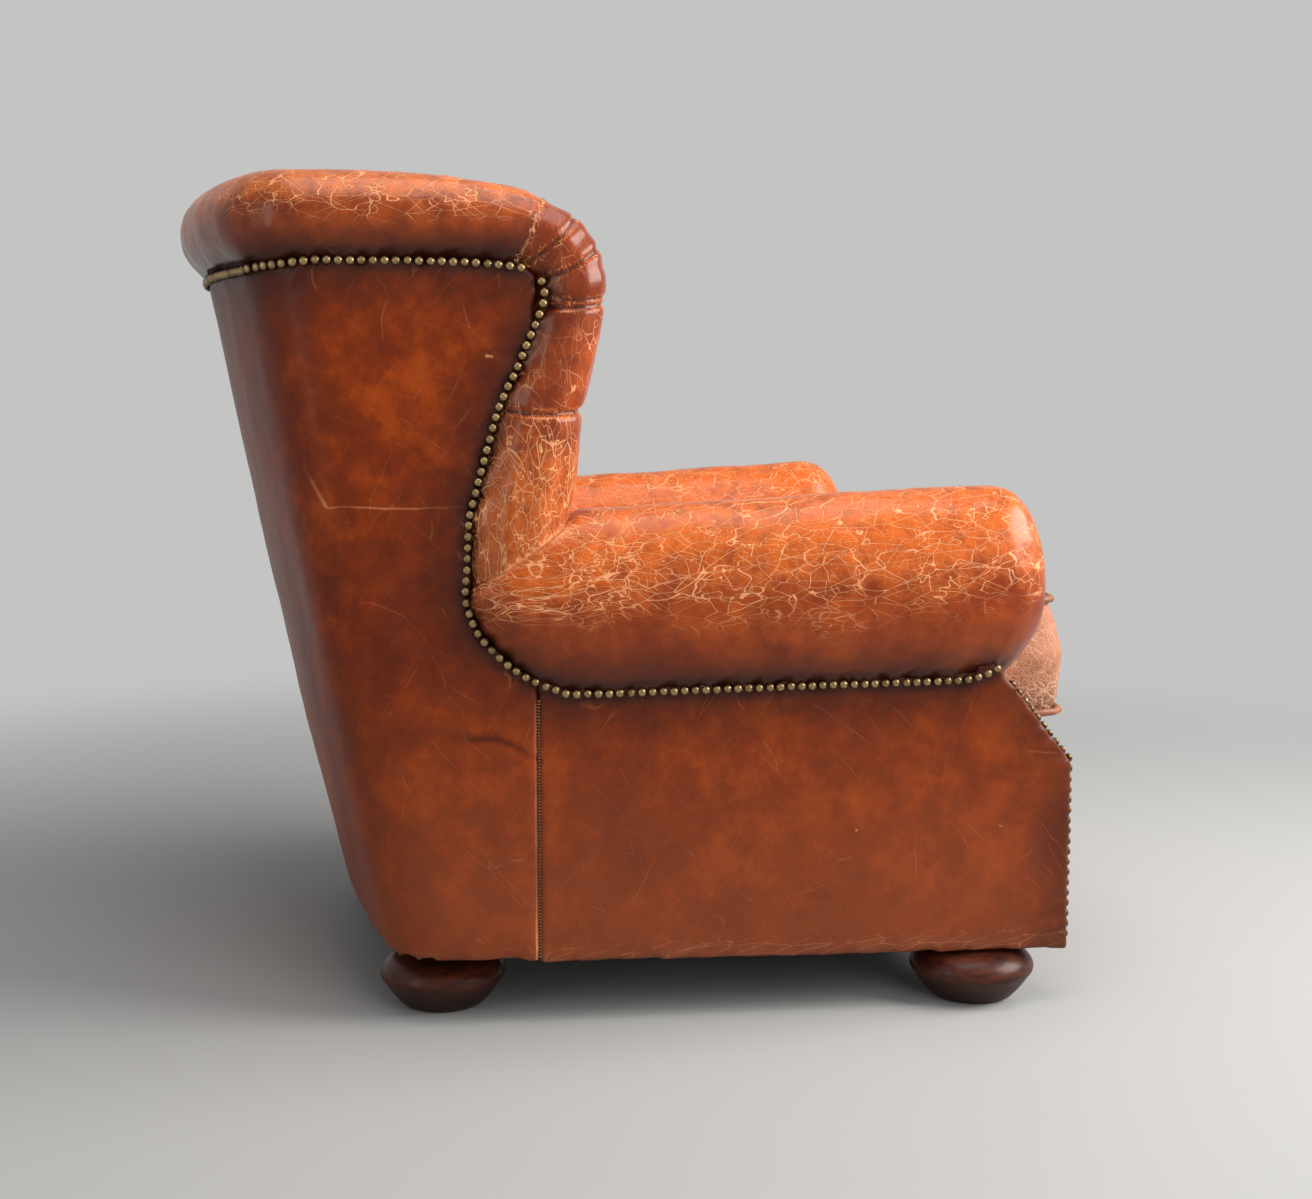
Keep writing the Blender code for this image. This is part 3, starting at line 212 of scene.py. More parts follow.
class Socket:
    """A shader value that takes part in Python expressions."""

    def __init__(self, tree, socket):
        self.tree = tree
        self.socket = socket

    def math(self, operation, *values):
        return add_node(self.tree, "ShaderNodeMath", {"operation": operation}, dict(enumerate(values)))

    def __add__(self, other):
        return self.math("ADD", self, other)

    def __radd__(self, other):
        return self.math("ADD", other, self)

    def __sub__(self, other):
        return self.math("SUBTRACT", self, other)

    def __rsub__(self, other):
        return self.math("SUBTRACT", other, self)

    def __mul__(self, other):
        return self.math("MULTIPLY", self, other)

    def __rmul__(self, other):
        return self.math("MULTIPLY", other, self)

    def __pow__(self, other):
        return self.math("POWER", self, other)

    def greatest(self, other):
        return self.math("MAXIMUM", self, other)

    def least(self, other):
        return self.math("MINIMUM", self, other)

    def logarithm(self):
        return self.math("LOGARITHM", self, math.e)

    def size(self):
        return self.math("ABSOLUTE", self)

    def step(self, low, high):
        """0 below low and 1 above high, smoothly between."""
        settings = {"interpolation_type": "SMOOTHSTEP"}
        inputs = {"Value": self, "From Min": low, "From Max": high}
        return add_node(self.tree, "ShaderNodeMapRange", settings, inputs)

    def mix(self, first, second):
        """A colour that goes from the first to the second as this value goes from 0 to 1."""
        inputs = {"Factor": self, 6: with_alpha(first), 7: with_alpha(second)}
        return add_node(self.tree, "ShaderNodeMix", {"data_type": "RGBA"}, inputs, output=2)


def with_alpha(colour):
    """A plain colour as a socket takes it. A linked one stays as it is."""
    return colour if isinstance(colour, Socket) else (*colour, 1.0)


def add_node(tree, kind, settings=None, inputs=None, output=0):
    """Adds any node: its settings first, then the values or links of its sockets. Gives one output."""
    made = tree.nodes.new(kind)
    for name, value in (settings or {}).items():
        setattr(made, name, value)
    for name, value in (inputs or {}).items():
        if isinstance(value, Socket):
            tree.links.new(value.socket, made.inputs[name])
        else:
            made.inputs[name].default_value = value
    return Socket(tree, made.outputs[output])


class Finish:
    """A new material with the few things that every leather and wood here asks for."""

    def __init__(self, name):
        self.material = bpy.data.materials.new(name)
        self.material.use_nodes = True
        self.tree = self.material.node_tree
        self.shader = self.tree.nodes["Principled BSDF"]
        self.place = self.node("ShaderNodeTexCoord", output=3)
        self.apart = self.node("ShaderNodeSeparateXYZ", inputs={0: self.place}).socket.node

    def node(self, kind, settings=None, inputs=None, output=0):
        return add_node(self.tree, kind, settings, inputs, output)

    def axis(self, index):
        return Socket(self.tree, self.apart.outputs[index])

    def attribute(self, name):
        return self.node("ShaderNodeAttribute", {"attribute_name": name}, output=2)

    def mapped(self, scale):
        return self.node("ShaderNodeMapping", None, {"Vector": self.place, "Scale": scale})

    def noise(self, vector, scale, detail=4.0, roughness=0.55, output=0):
        inputs = {"Vector": vector, "Scale": scale, "Detail": detail, "Roughness": roughness}
        return self.node("ShaderNodeTexNoise", None, inputs, output)

    def warped(self, vector, scale, amount):
        """The vector pushed about by noise, so that lines in it wander."""
        push = self.noise(vector, scale, 3.0, output=1)
        middle = (0.5, 0.5, 0.5)
        centred = self.node("ShaderNodeVectorMath", {"operation": "SUBTRACT"}, {0: push, 1: middle})
        scaled = self.node("ShaderNodeVectorMath", {"operation": "SCALE"}, {0: centred, "Scale": amount})
        return self.node("ShaderNodeVectorMath", {"operation": "ADD"}, {0: vector, 1: scaled})

    def cell_edges(self, vector, scale):
        """Distance to the nearest edge of an irregular network."""
        inputs = {"Vector": vector, "Scale": scale}
        return self.node("ShaderNodeTexVoronoi", {"feature": "DISTANCE_TO_EDGE"}, inputs)

    def bump(self, height, distance, strength=1.0):
        inputs = {"Height": height, "Distance": distance, "Strength": strength}
        return self.node("ShaderNodeBump", None, inputs)

    def feed(self, name, value):
        if isinstance(value, Socket):
            self.tree.links.new(value.socket, self.shader.inputs[name])
        else:
            self.shader.inputs[name].default_value = value


# Leather, brass and wood


def crack_lines(finish, path, sizes, closer=1.0):
    """Thin lines of an irregular network, widened by as much as its cells lie closer."""
    scale, width = sizes
    edge = finish.cell_edges(path, scale)
    return 1.0 - edge.step(closer * (width * scale * CRACK_CORE), closer * (width * scale))


def long_lines(finish, path, sizes, closer):
    """Long wandering lines, where a noise crosses its middle value."""
    scale, width = sizes
    away = (finish.noise(path, scale, 2.0, 0.5) - 0.5).size()
    return 1.0 - away.step(closer * (width * scale * LONG_CRACK_CORE), closer * (width * scale))


def crack_paths(finish, across, fans_out):
    """Places for the sets of cracks along a roll that is crossed by this axis, and how much closer they lie.

    Where they fan out, they run from the joint of arm and wing and draw closer within FAN_REACH of it.
    """
    offsets = {1: finish.axis(1) - JOINT_Y, 2: finish.axis(2) - JOINT_Z}
    over, on = offsets[across], offsets[3 - across]
    closer = 1.0
    if fans_out:
        far = (over * over + on * on) ** 0.5
        near = far.greatest(FAN_HUB * FAN_REACH).least(FAN_REACH) * (1.0 / FAN_REACH)
        closer = near ** -1.0
        over = over * closer
        on = near.logarithm() * FAN_REACH + (far - near * FAN_REACH) * closer
    side = finish.axis(0) * 0.8
    return closer, [
        finish.node("ShaderNodeCombineXYZ", None, {0: side, 1: over + on * lean, 2: on * shorter})
        for lean, shorter in CRACK_SETS
    ]


def roll_leather(name, across, fans_out, crack_amount, colours):
    """Glossy cracked leather, with its cracks laid out by crack_paths."""
    hide, dark, light = colours
    finish = Finish(name)
    shade = finish.attribute("shade")
    wear = finish.attribute("wear")
    broad = finish.noise(finish.place, 10.0, 3.0)
    cloudy = finish.noise(finish.place, 42.0, 4.0, 0.65)
    closer, (left, right, level) = crack_paths(finish, across, fans_out)
    first = crack_lines(finish, finish.warped(left, 16.0, 0.018), LEFT_CRACKS, closer)
    second = crack_lines(finish, finish.warped(right, 13.0, 0.018), RIGHT_CRACKS, closer)
    long = long_lines(finish, finish.warped(level, 30.0, 0.010), LONG_CRACKS, closer)
    small = crack_lines(finish, finish.warped(finish.place, 18.0, 0.022), SMALL_CRACKS)
    worn = (wear * 1.25 + (broad - 0.5) * 1.3).step(0.10, 0.60)
    fine = (wear * 1.1 + (cloudy - 0.5) * 1.2 + (broad - 0.5) * 0.8).step(0.30, 0.85)
    cracks = (first * worn).greatest(second * worn * 0.85).greatest(long * worn)
    cracks = cracks.greatest(small * fine * 0.5) * crack_amount * (cloudy + 0.35).step(0.35, 0.90)
    tone = (broad * 0.8 + cloudy * 0.6 - 0.2).step(0.25, 0.75)
    colour = tone.mix(dark, hide)
    colour = (wear * 0.8 + (cloudy - 0.5) * 0.9).step(0.30, 1.0).mix(colour, light)
    # Painted shade, with dirt by the nails: darker as the shade attribute rises
    colour = (shade * 0.95).mix(colour, ROLL_GRIME_AND_SHADE)
    lips = wear.step(0.88, 1.0) * cloudy.step(0.30, 0.55)
    colour = (cracks * 0.85).greatest(lips * 0.8).mix(colour, LEATHER_CREAM)
    finish.feed("Base Color", colour)
    finish.feed("Roughness", 0.24 + 0.16 * cloudy + 0.22 * cracks)
    finish.feed("Normal", finish.bump(cloudy * 0.35 - cracks * 0.8, 0.0011, 0.8))
    finish.feed("Coat Weight", 0.13)
    finish.feed("Coat Roughness", 0.10)
    finish.feed("Specular IOR Level", 0.24)
    return finish.material


def scratches(finish, turn, sizes, long):
    """Thin wandering marks that run one way in the side view, this many times as long as wide."""
    inputs = {"Vector": finish.place, "Rotation": (turn, 0.0, 0.0), "Scale": (1.0, 1.0, long)}
    along = finish.node("ShaderNodeMapping", {"vector_type": "TEXTURE"}, inputs)
    return crack_lines(finish, finish.warped(along, 6.0, 0.03), sizes)


def line_at(value, place, half):
    """1 within half of this place, and 0 from twice as far."""
    return 1.0 - (value - place).size().step(half, half * 2.0)


def seam_lines(finish):
    """The painted shade in the groove of the side seam, and the rubbed edge of the cover behind it."""
    below = 1.0 - finish.axis(2).step(SEAM_TOP_Z - 0.010, SEAM_TOP_Z)
    wander = (finish.noise(finish.place, 30.0, 2.0) - 0.5) * 0.0016
    y = finish.axis(1) + wander
    return line_at(y, SEAM_Y, 0.0007) * below, line_at(y, SEAM_Y + 0.0032, 0.0010) * below


def long_scuff(finish):
    """The level scratch across the upper panel of the right side, with its short leg at the rear."""
    y, above = finish.axis(1), finish.axis(2) - LONG_SCUFF_Z
    wander = (finish.noise(finish.place, 12.0, 3.0) - 0.5) * 0.010
    right = 1.0 - finish.axis(0).step(-0.30, -0.25)
    span = y.step(0.212, 0.300) * (1.0 - y.step(0.360, 0.366))
    level = line_at(above + wander, 0.0, 0.0007) * span
    rise = above.step(-0.001, 0.002) * (1.0 - above.step(0.020, 0.050))
    leg = line_at(y + wander - above * 0.45, LONG_SCUFF_REAR_Y, 0.0013) * rise
    return level.greatest(leg) * right


def panel_leather(name, colours):
    """Smoother mottled leather with fine scratches and a rubbed lower hem."""
    hide, dark, light = colours
    finish = Finish(name)
    shade = finish.attribute("shade")
    wear = finish.attribute("wear")
    broad = finish.noise(finish.place, 4.5, 5.0, 0.62)
    cloudy = finish.noise(finish.place, 24.0, 6.0, 0.70)
    broken = finish.noise(finish.place, 17.0, 2.0)
    tone = (broad * 0.7 + cloudy * 0.8 - 0.25).step(0.28, 0.68)
    colour = tone.mix(dark, hide)
    colour = (broad * 0.7 + cloudy * 0.6).step(0.64, 0.90).mix(colour, light)
    # Lighter and more orange towards the bottom
    lighter_below = (1.0 - finish.axis(2).step(0.06, 0.45)) * 0.50
    colour = lighter_below.mix(colour, PANEL_LOWER_ORANGE)
    # Painted shade: the rear of the panels and the back cover is darkened towards a dark reddish brown, as
    # the random patches are too
    rear = finish.axis(1).step(0.37, 0.45) * 0.40
    purple_and_rear_shade = ((1.0 - broad).step(0.50, 0.72) * 0.35).greatest(rear)
    colour = purple_and_rear_shade.mix(colour, PANEL_PURPLE_AND_SHADE)
    # Painted shade, with dirt by the nails: darker as the shade attribute rises
    colour = (shade * 0.92).mix(colour, PANEL_GRIME_AND_SHADE)
    rising = scratches(finish, 0.55, (34.0, 0.00035), 9.0) * broken.step(0.50, 0.64)
    falling = scratches(finish, -0.75, (30.0, 0.00035), 7.0) * (1.0 - broken).step(0.50, 0.64)
    marks = rising.greatest(falling)
    colour = (marks * 0.20).mix(colour, (0.50, 0.14, 0.035))
    low = 1.0 - finish.axis(2).step(0.072, 0.100)
    frayed = scratches(finish, 1.35, (110.0, 0.00030), 7.0) * (cloudy + low * 0.2).step(0.50, 0.72)
    hem = (low * 0.9 + (cloudy - 0.5) * 1.6).step(0.55, 1.1)
    colour = (hem * 0.30).mix(colour, (0.22, 0.085, 0.045))
    colour = (low * frayed * 0.28).mix(colour, (0.62, 0.30, 0.15))
    groove, edge = seam_lines(finish)
    # Painted shade: a dark line in the groove of the side seam
    colour = (groove * 0.85).mix(colour, SEAM_GROOVE_SHADE)
    scuffed = (wear + (cloudy - 0.5) * 1.2).step(0.50, 0.95)
    edge = edge * (cloudy * 0.6 + 0.9 * (1.0 - finish.axis(2).step(0.075, 0.150)))
    scuffed = scuffed.greatest(edge).greatest(long_scuff(finish) * (cloudy * 2.0 - 0.6))
    colour = (scuffed * 0.75).mix(colour, PANEL_RUBBED)
    finish.feed("Base Color", colour)
    finish.feed("Roughness", 0.30 + 0.22 * cloudy + 0.15 * scuffed)
    finish.feed("Normal", finish.bump(cloudy * 0.5 + broad * 0.8 - marks * 0.3, 0.0014, 0.7))
    finish.feed("Coat Weight", 0.03)
    finish.feed("Coat Roughness", 0.12)
    finish.feed("Specular IOR Level", 0.14)
    return finish.material


def cushion_leather():
    """Matte, dry leather, rubbed pale, with darker cracked lower edges."""
    finish = Finish("cushion_leather_worn")
    wear = finish.attribute("wear")
    cloudy = finish.noise(finish.place, 45.0, 6.0, 0.7)
    broad = finish.noise(finish.place, 8.0, 3.0)
    colour = cloudy.step(0.3, 0.75).mix((0.30, 0.105, 0.048), (0.55, 0.235, 0.125))
    colour = broad.step(0.4, 0.75).mix(colour, (0.42, 0.15, 0.065))
    path = finish.warped(finish.place, 22.0, 0.02)
    cracks = 1.0 - finish.cell_edges(path, 75.0).step(0.02, 0.12)
    dark = 1.0 - finish.axis(2).step(0.30, 0.37)
    colour = (dark * 0.7).mix(colour, (0.16, 0.055, 0.028))
    colour = (cracks * dark * 0.8).mix(colour, (0.66, 0.38, 0.24))
    pale = 1.0 - finish.cell_edges(path, 130.0).step(0.02, 0.10)
    colour = (pale * 0.35).mix(colour, (0.72, 0.42, 0.28))
    colour = (wear * 0.9).mix(colour, (0.44, 0.15, 0.06))
    finish.feed("Base Color", colour)
    finish.feed("Roughness", 0.56 + 0.15 * cloudy)
    finish.feed("Normal", finish.bump(cloudy * 0.6 - cracks * dark - pale * 0.3, 0.0013))
    return finish.material


def welt_leather():
    """Dull rubbed leather of the cushion's welts."""
    finish = Finish("welt_leather_worn")
    cloudy = finish.noise(finish.place, 70.0, 5.0, 0.7)
    colour = cloudy.step(0.3, 0.7).mix((0.16, 0.048, 0.016), (0.38, 0.145, 0.055))
    finish.feed("Base Color", colour)
    finish.feed("Roughness", 0.42 + 0.2 * cloudy)
    finish.feed("Normal", finish.bump(cloudy, 0.0008))
    return finish.material


def brass():
    """Old brass nail heads, dark in the hollows with rubbed tops."""
    finish = Finish("antique_brass_worn")
    top = finish.attribute("wear")
    spots = finish.noise(finish.place, 420.0, 3.0)
    each = finish.noise(finish.place, 55.0, 1.0)
    rub = (top * 0.8 + (spots - 0.5) * 0.7 + (each - 0.5)).step(0.10, 0.95)
    finish.feed("Base Color", rub.mix(BRASS_DARK, BRASS_BRIGHT))
    finish.feed("Metallic", 0.92)
    finish.feed("Roughness", 0.40 - 0.14 * rub + 0.1 * spots)
    finish.feed("Normal", finish.bump(spots, 0.0004, 0.6))
    return finish.material


def foot_wood():
    """Dark stained mahogany, reddish above, and near black below, where shade is painted under its bulge."""
    finish = Finish("stained_wood_worn")
    streak = finish.noise(finish.warped(finish.mapped((1.0, 1.0, 5.0)), 8.0, 0.05), 34.0, 5.0, 0.7)
    low = 1.0 - finish.axis(2).step(0.012, 0.048)
    colour = streak.step(0.3, 0.72).mix((0.026, 0.007, 0.004), (0.100, 0.022, 0.010))
    # Painted shade: the lower taper of the foot, under its bulge, darkened to near black
    colour = (low * 0.75).mix(colour, (0.012, 0.007, 0.006))
    chips = finish.noise(finish.place, 95.0, 4.0).step(0.70, 0.76)
    colour = (chips * 0.5).mix(colour, (0.17, 0.075, 0.04))
    finish.feed("Base Color", colour)
    finish.feed("Roughness", 0.30 + 0.15 * streak + 0.1 * low)
    finish.feed("Normal", finish.bump(streak - chips * 0.4, 0.0006, 0.6))
    finish.feed("Coat Weight", 0.08)
    finish.feed("Coat Roughness", 0.12)
    finish.feed("Specular IOR Level", 0.20)
    return finish.material


def timber():
    """Pale sawn wood, with streaks side by side along x."""
    finish = Finish("frame_timber_sawn")
    streak = finish.noise(finish.mapped((1.0, 0.12, 0.12)), 120.0, 5.0, 0.7)
    colour = streak.step(0.3, 0.7).mix((0.34, 0.21, 0.11), (0.55, 0.38, 0.22))
    finish.feed("Base Color", colour)
    finish.feed("Roughness", 0.62 + 0.15 * streak)
    finish.feed("Normal", finish.bump(streak, 0.0006))
    return finish.material


def cloth():
    """Black woven dust cloth, with dust on it."""
    finish = Finish("dust_cloth_woven")
    inputs = {"Vector": finish.place, "Scale": 320.0}
    weave = finish.node("ShaderNodeTexWave", {"bands_direction": "X"}, inputs)
    dust = finish.noise(finish.place, 14.0, 5.0).step(0.45, 0.8)
    finish.feed("Base Color", (dust * 0.5).mix((0.012, 0.011, 0.011), (0.075, 0.068, 0.06)))
    finish.feed("Roughness", 0.86 + 0.08 * dust)
    finish.feed("Normal", finish.bump(weave, 0.0003))
    return finish.material


def steel():
    """Dull spring steel with brown spots."""
    finish = Finish("spring_steel_dull")
    spots = finish.noise(finish.place, 160.0, 3.0)
    finish.feed("Base Color", spots.step(0.45, 0.75).mix((0.32, 0.32, 0.33), (0.16, 0.10, 0.07)))
    finish.feed("Metallic", 0.9)
    finish.feed("Roughness", 0.34 + 0.3 * spots)
    return finish.material


def thread():
    """Brown thread, paler where it is rubbed."""
    finish = Finish("seam_thread")
    spots = finish.noise(finish.place, 300.0, 2.0)
    finish.feed("Base Color", spots.mix((0.16, 0.06, 0.03), (0.42, 0.22, 0.12)))
    finish.feed("Roughness", 0.7)
    return finish.material


# Meshes


def points_of(mesh):
    """The mesh's points, one row each."""
    flat = np.empty(len(mesh.vertices) * 3)
    mesh.vertices.foreach_get("co", flat)
    return flat.reshape(-1, 3)


def normals_of(mesh):
    """The outward direction at each point of the mesh."""
    flat = np.empty(len(mesh.vertices) * 3)
    mesh.vertex_normals.foreach_get("vector", flat)
    return flat.reshape(-1, 3)


def set_points(mesh, points):
    """Moves the mesh's points to these places."""
    mesh.vertices.foreach_set("co", points.reshape(-1))
    mesh.update()


def paint(mesh, name, values):
    """Keeps a number for each point, which the materials read."""
    attribute = mesh.attributes.new(name, "FLOAT", "POINT")
    attribute.data.foreach_set("value", np.clip(values, 0.0, 1.0).astype(np.float32))


def node_bmesh(node):
    """A CAD node's mesh as a bmesh, with its loose triangles merged."""
    bm = bmesh.new()
    bm.from_mesh(frame["nodes"][node].data)
    bmesh.ops.remove_doubles(bm, verts=bm.verts, dist=MERGE_DISTANCE)
    return bm


def mesh_of(bm, name):
    """The bmesh as a new mesh. The bmesh is freed."""
    mesh = bpy.data.meshes.new(name)
    bm.to_mesh(mesh)
    bm.free()
    return mesh


def in_scene(name, data):
    """A new object in the scene."""
    made = bpy.data.objects.new(name, data)
    bpy.context.scene.collection.objects.link(made)
    return made


def applied(draft):
    """The mesh that a draft's modifiers give. The draft is removed."""
    graph = bpy.context.evaluated_depsgraph_get()
    mesh = bpy.data.meshes.new_from_object(draft.evaluated_get(graph))
    bpy.data.objects.remove(draft, do_unlink=True)
    return mesh


def finished(name, mesh, material, nodes):
    """Puts a piece in the scene in place of its CAD nodes."""
    piece = in_scene(name, mesh)
    mesh.materials.clear()
    mesh.materials.append(material)
    mesh.shade_smooth()
    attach(piece, "root")
    if nodes:
        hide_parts(*nodes)
    return piece


def height_share(points):
    """How high each point is, from 0 at the lowest to 1 at the highest."""
    low, high = points[:, 2].min(), points[:, 2].max()
    return (points[:, 2] - low) / (high - low)


def seam_distance(points, seam):
    """How far each point is from a seam's plane, in the side view."""
    (y0, z0), (y1, z1) = seam
    along = np.array([y1 - y0, z1 - z0])
    along /= np.linalg.norm(along)
    return np.abs((points[:, 1] - y0) * along[1] - (points[:, 2] - z0) * along[0])


def seam_normal(points, seam):
    """A unit vector towards a seam's plane, in the side view, for the points that lie on one side of it."""
    (y0, z0), (y1, z1) = seam
    across = np.array([z0 - z1, y1 - y0])
    across /= np.linalg.norm(across)
    middle = points[:, 1:].mean(axis=0) - np.array([y0, z0])
    turned = -across * np.sign(middle @ across)
    return np.array([0.0, *turned])


def relaxed(mesh, rounds, freedom):
    """Draws each point towards its neighbours again and again, by its freedom from 0 to 1."""
    points = points_of(mesh)
    ends = np.empty(len(mesh.edges) * 2, dtype=np.int64)
    mesh.edges.foreach_get("vertices", ends)
    first, second = ends.reshape(-1, 2).T
    count = np.bincount(ends, minlength=len(points))
    pull = 0.5 * freedom(points)[:, None]
    for _ in range(rounds):
        total = np.empty_like(points)
        for axis in range(3):
            values = points[:, axis]
            total[:, axis] = np.bincount(first, values[second], len(points))
            total[:, axis] += np.bincount(second, values[first], len(points))
        points += pull * (total / count[:, None] - points)
    set_points(mesh, points)


def all_free(points):
    """No point is held back when a mesh is smoothed."""
    return np.ones(len(points))


def remeshed(node, voxel, rounds, inflate, freedom=all_free):
    """A soft version of a CAD node: an even mesh, with its facets and edges smoothed away."""
    draft = in_scene(node + "_draft", mesh_of(node_bmesh(node), node + "_soft"))
    modifier = draft.modifiers.new("even", "REMESH")
    modifier.mode = "VOXEL"
    modifier.voxel_size = voxel
    bpy.context.view_layer.update()
    made = applied(draft)
    relaxed(made, rounds, freedom)
    set_points(made, points_of(made) + normals_of(made) * inflate)
    return made


def nail_places():
    """Base centre, outward direction and CAD node of every nail head, read from the CAD strips."""
    found = []
    for node in sorted(frame["nodes"]):
        if not node.startswith("nail_row"):
            continue
        bm = node_bmesh(node)
        for edge in bm.edges:
            if abs(edge.calc_length() - NAIL_BASE_WIDTH) > NAIL_WIDTH_SLACK:
                continue
            ends = edge.verts
            near = [{link.other_vert(end) for link in end.link_edges} for end in ends]
            centre = (ends[0].co + ends[1].co) / 2
            rises = [v.co - centre for v in near[0] & near[1]]
            upright = [r for r in rises if abs(r.length - NAIL_STRIP_RISE) < NAIL_RISE_SLACK]
            if upright:
                found.append((centre.copy(), upright[0].normalized(), node))
        bm.free()
    return found


def tree_of(points):
    """A search tree of these points."""
    tree = KDTree(len(points))
    for i, point in enumerate(points):
        tree.insert(point, i)
    tree.balance()
    return tree


def nail_distance(points, reach=0.09):
    """How far each point is from the nearest nail."""
    return np.array([min(NAIL_TREE.find(p)[2], reach) for p in points])


def pleat_dents(points, pleats):
    """How far each point of a wing roll sinks at the pleats, and how near it is to the middle of one."""
    depth = np.zeros(len(points))
    sharp = np.zeros(len(points))
    for (y0, z0), (y1, z1), deep, half in pleats:
        along = np.array([y1 - y0, z1 - z0])
        length = np.linalg.norm(along)
        along /= length
        offset = points[:, 1:] - np.array([y0, z0])
        share = (offset @ along) / length
        bend = 0.004 * np.sin(share * math.pi)
        across = np.abs(offset @ np.array([-along[1], along[0]]) + bend)
        reach = smoothstep(-0.6, -0.1, share) * (1 - smoothstep(0.85, 1.05, share))
        depth = np.maximum(depth, deep * fading(across, half) * reach)
        sharp = np.maximum(sharp, fading(across, half * 0.35) * reach)
    return depth, sharp


def rumple(points, size, seed):
    """Slow noise for hand-made unevenness."""
    shift = Vector((seed * 3.1, seed * 1.7, seed * 0.9))
    return np.array([noise.noise(Vector(p) / size + shift) for p in points])


def roll_freedom(points):
    """Rolls keep their shape next to the seams between them."""
    near = np.minimum(seam_distance(points, MITRE_SEAM), seam_distance(points, TOP_SEAM))
    return smoothstep(0.0015, 0.008, near)


def roll_piece(node, material, pleats=(), voxel=0.0042, rounds=14, inflate=0.0014,
               worn=(0.20, 0.75), least=0.0, shaded_underside=(0.35, 0.4)):
    """A stuffed roll: smoothed, dented at its pleats, drawn in at the nails and painted with shade and wear.

    Worn gives the shares of its height between which the wear grows from the least, and shaded_underside how
    high the painted shade of its underside reaches and how dark it is. Full wear is kept for the pale lips of
    seams and pleats.
    """
    mesh = remeshed(node, voxel, rounds, inflate, roll_freedom)
    points, normals = points_of(mesh), normals_of(mesh)
    y, z = points[:, 1], points[:, 2]
    nail = nail_distance(points)
    mitre, top = seam_distance(points, MITRE_SEAM), seam_distance(points, TOP_SEAM)
    at_mitre = (z < MITRE_HIGHEST_Z) * fading(mitre, MITRE_DENT_WIDTH)
    at_top = (z > TOP_SEAM_LOWEST_Z) * (y < TOP_SEAM_REARMOST_Y) * fading(top, TOP_SEAM_LIP_WIDTH)

    folds, sharp = pleat_dents(points, pleats)
    dents = folds + MITRE_DENT * at_mitre
    lumps = rumple(points, 0.06, 1) * 0.0016 + rumple(points, 0.022, 2) * 0.0006
    gather = np.sin(y * 190 + z * 160 + 3 * rumple(points, 0.03, 5))
    drawn = lumps + 0.0018 * gather * fading(nail, 0.016)
    drawn *= smoothstep(0.0, 0.01, np.minimum(mitre, top))
    proud = drawn - dents + TOP_SEAM_LIP * at_top
    closing = seam_normal(points, MITRE_SEAM) * (MITRE_CLOSING * at_mitre)[:, None]
    set_points(mesh, points + normals * proud[:, None] + closing)

    level = height_share(points)
    # Painted shade: darkest by the nails, where the roll is drawn into a recess and dirt gathers too, in the
    # pleat creases and along the seam lines, with a wider painted shade round the nails
    grime_and_shade = fading(nail, 0.0095)
    darkest = np.maximum(grime_and_shade * 0.95, sharp * 0.85)
    darkest = np.maximum(darkest, 0.25 * fading(mitre, 0.0015) * at_mitre)
    darkest = np.maximum(darkest, (top < 0.0012) * at_top * 0.8)
    # Painted shade under the roll, darkest at its bottom and gone at the given share of its height
    under = shaded_underside[1] * (1 - smoothstep(0.0, shaded_underside[0], level))
    paint(mesh, "shade", darkest + 0.35 * fading(nail, 0.035) + under)

    joint = np.hypot(y - JOINT_Y, z - JOINT_Z)
    rubbed = np.maximum(least, smoothstep(*worn, level)) * (1 - 0.8 * grime_and_shade) + 0.2 * fading(joint, 0.07)
    lips = np.exp(-((dents / 0.0012 - 0.6) ** 2) / 0.25) * (dents > 0.0004)
    pinched = at_mitre * fading(joint - 0.03, 0.045, 4) * (z > JOINT_Z - 0.01)
    seams = np.maximum(np.maximum(at_top, pinched) * 1.6, lips)
    paint(mesh, "wear", np.maximum(np.minimum(rubbed, 0.85), seams))
    return finished(node + "_hide", mesh, material, [node])


def side_marks(points):
    """How strongly the scuffs of the right side mark each point."""
    y, z = points[:, 1], points[:, 2]
    right = points[:, 0] < 0
    found = np.zeros(len(points))
    for centre_y, centre_z, long, wide, turn, strength in SIDE_SCUFFS:
        dy, dz = y - centre_y, z - centre_z
        u = (dy * math.cos(turn) + dz * math.sin(turn)) / long
        v = (-dy * math.sin(turn) + dz * math.cos(turn)) / wide
        found = np.maximum(found, strength * np.exp(-(u**4 + v**2)) * right)
    return found


def crease_dents(points):
    """The creased fold beside the seam, under the arm's nose, with a swelling above it."""
    y, z = points[:, 1] - CREASE_MIDDLE[0], points[:, 2] - CREASE_MIDDLE[1]
    across = z - 0.006 * np.cos(y * 60) - 0.25 * y
    along = fading(y, CREASE_REACH, 4)
    return along * (0.004 * fading(across, 0.0035) - 0.002 * fading(across - 0.008, 0.006))


def panel_freedom(points):
    """Covers keep their shape at the side seam, and nearly so at the hem and by the nails."""
    y, z = points[:, 1], points[:, 2]
    at_seam = (np.abs(points[:, 0]) > ON_SIDE_X) * (z < SEAM_TOP_Z + 0.03)
    held = at_seam * (1 - smoothstep(0.004, 0.016, np.abs(y - SEAM_Y)))
    hem = 1 - smoothstep(HEM_Z, 0.095, z)
    edge = 0.85 * (1 - smoothstep(0.010, 0.030, nail_distance(points)))
    return np.clip(1 - held - 0.8 * hem - edge, 0.0, 1.0)


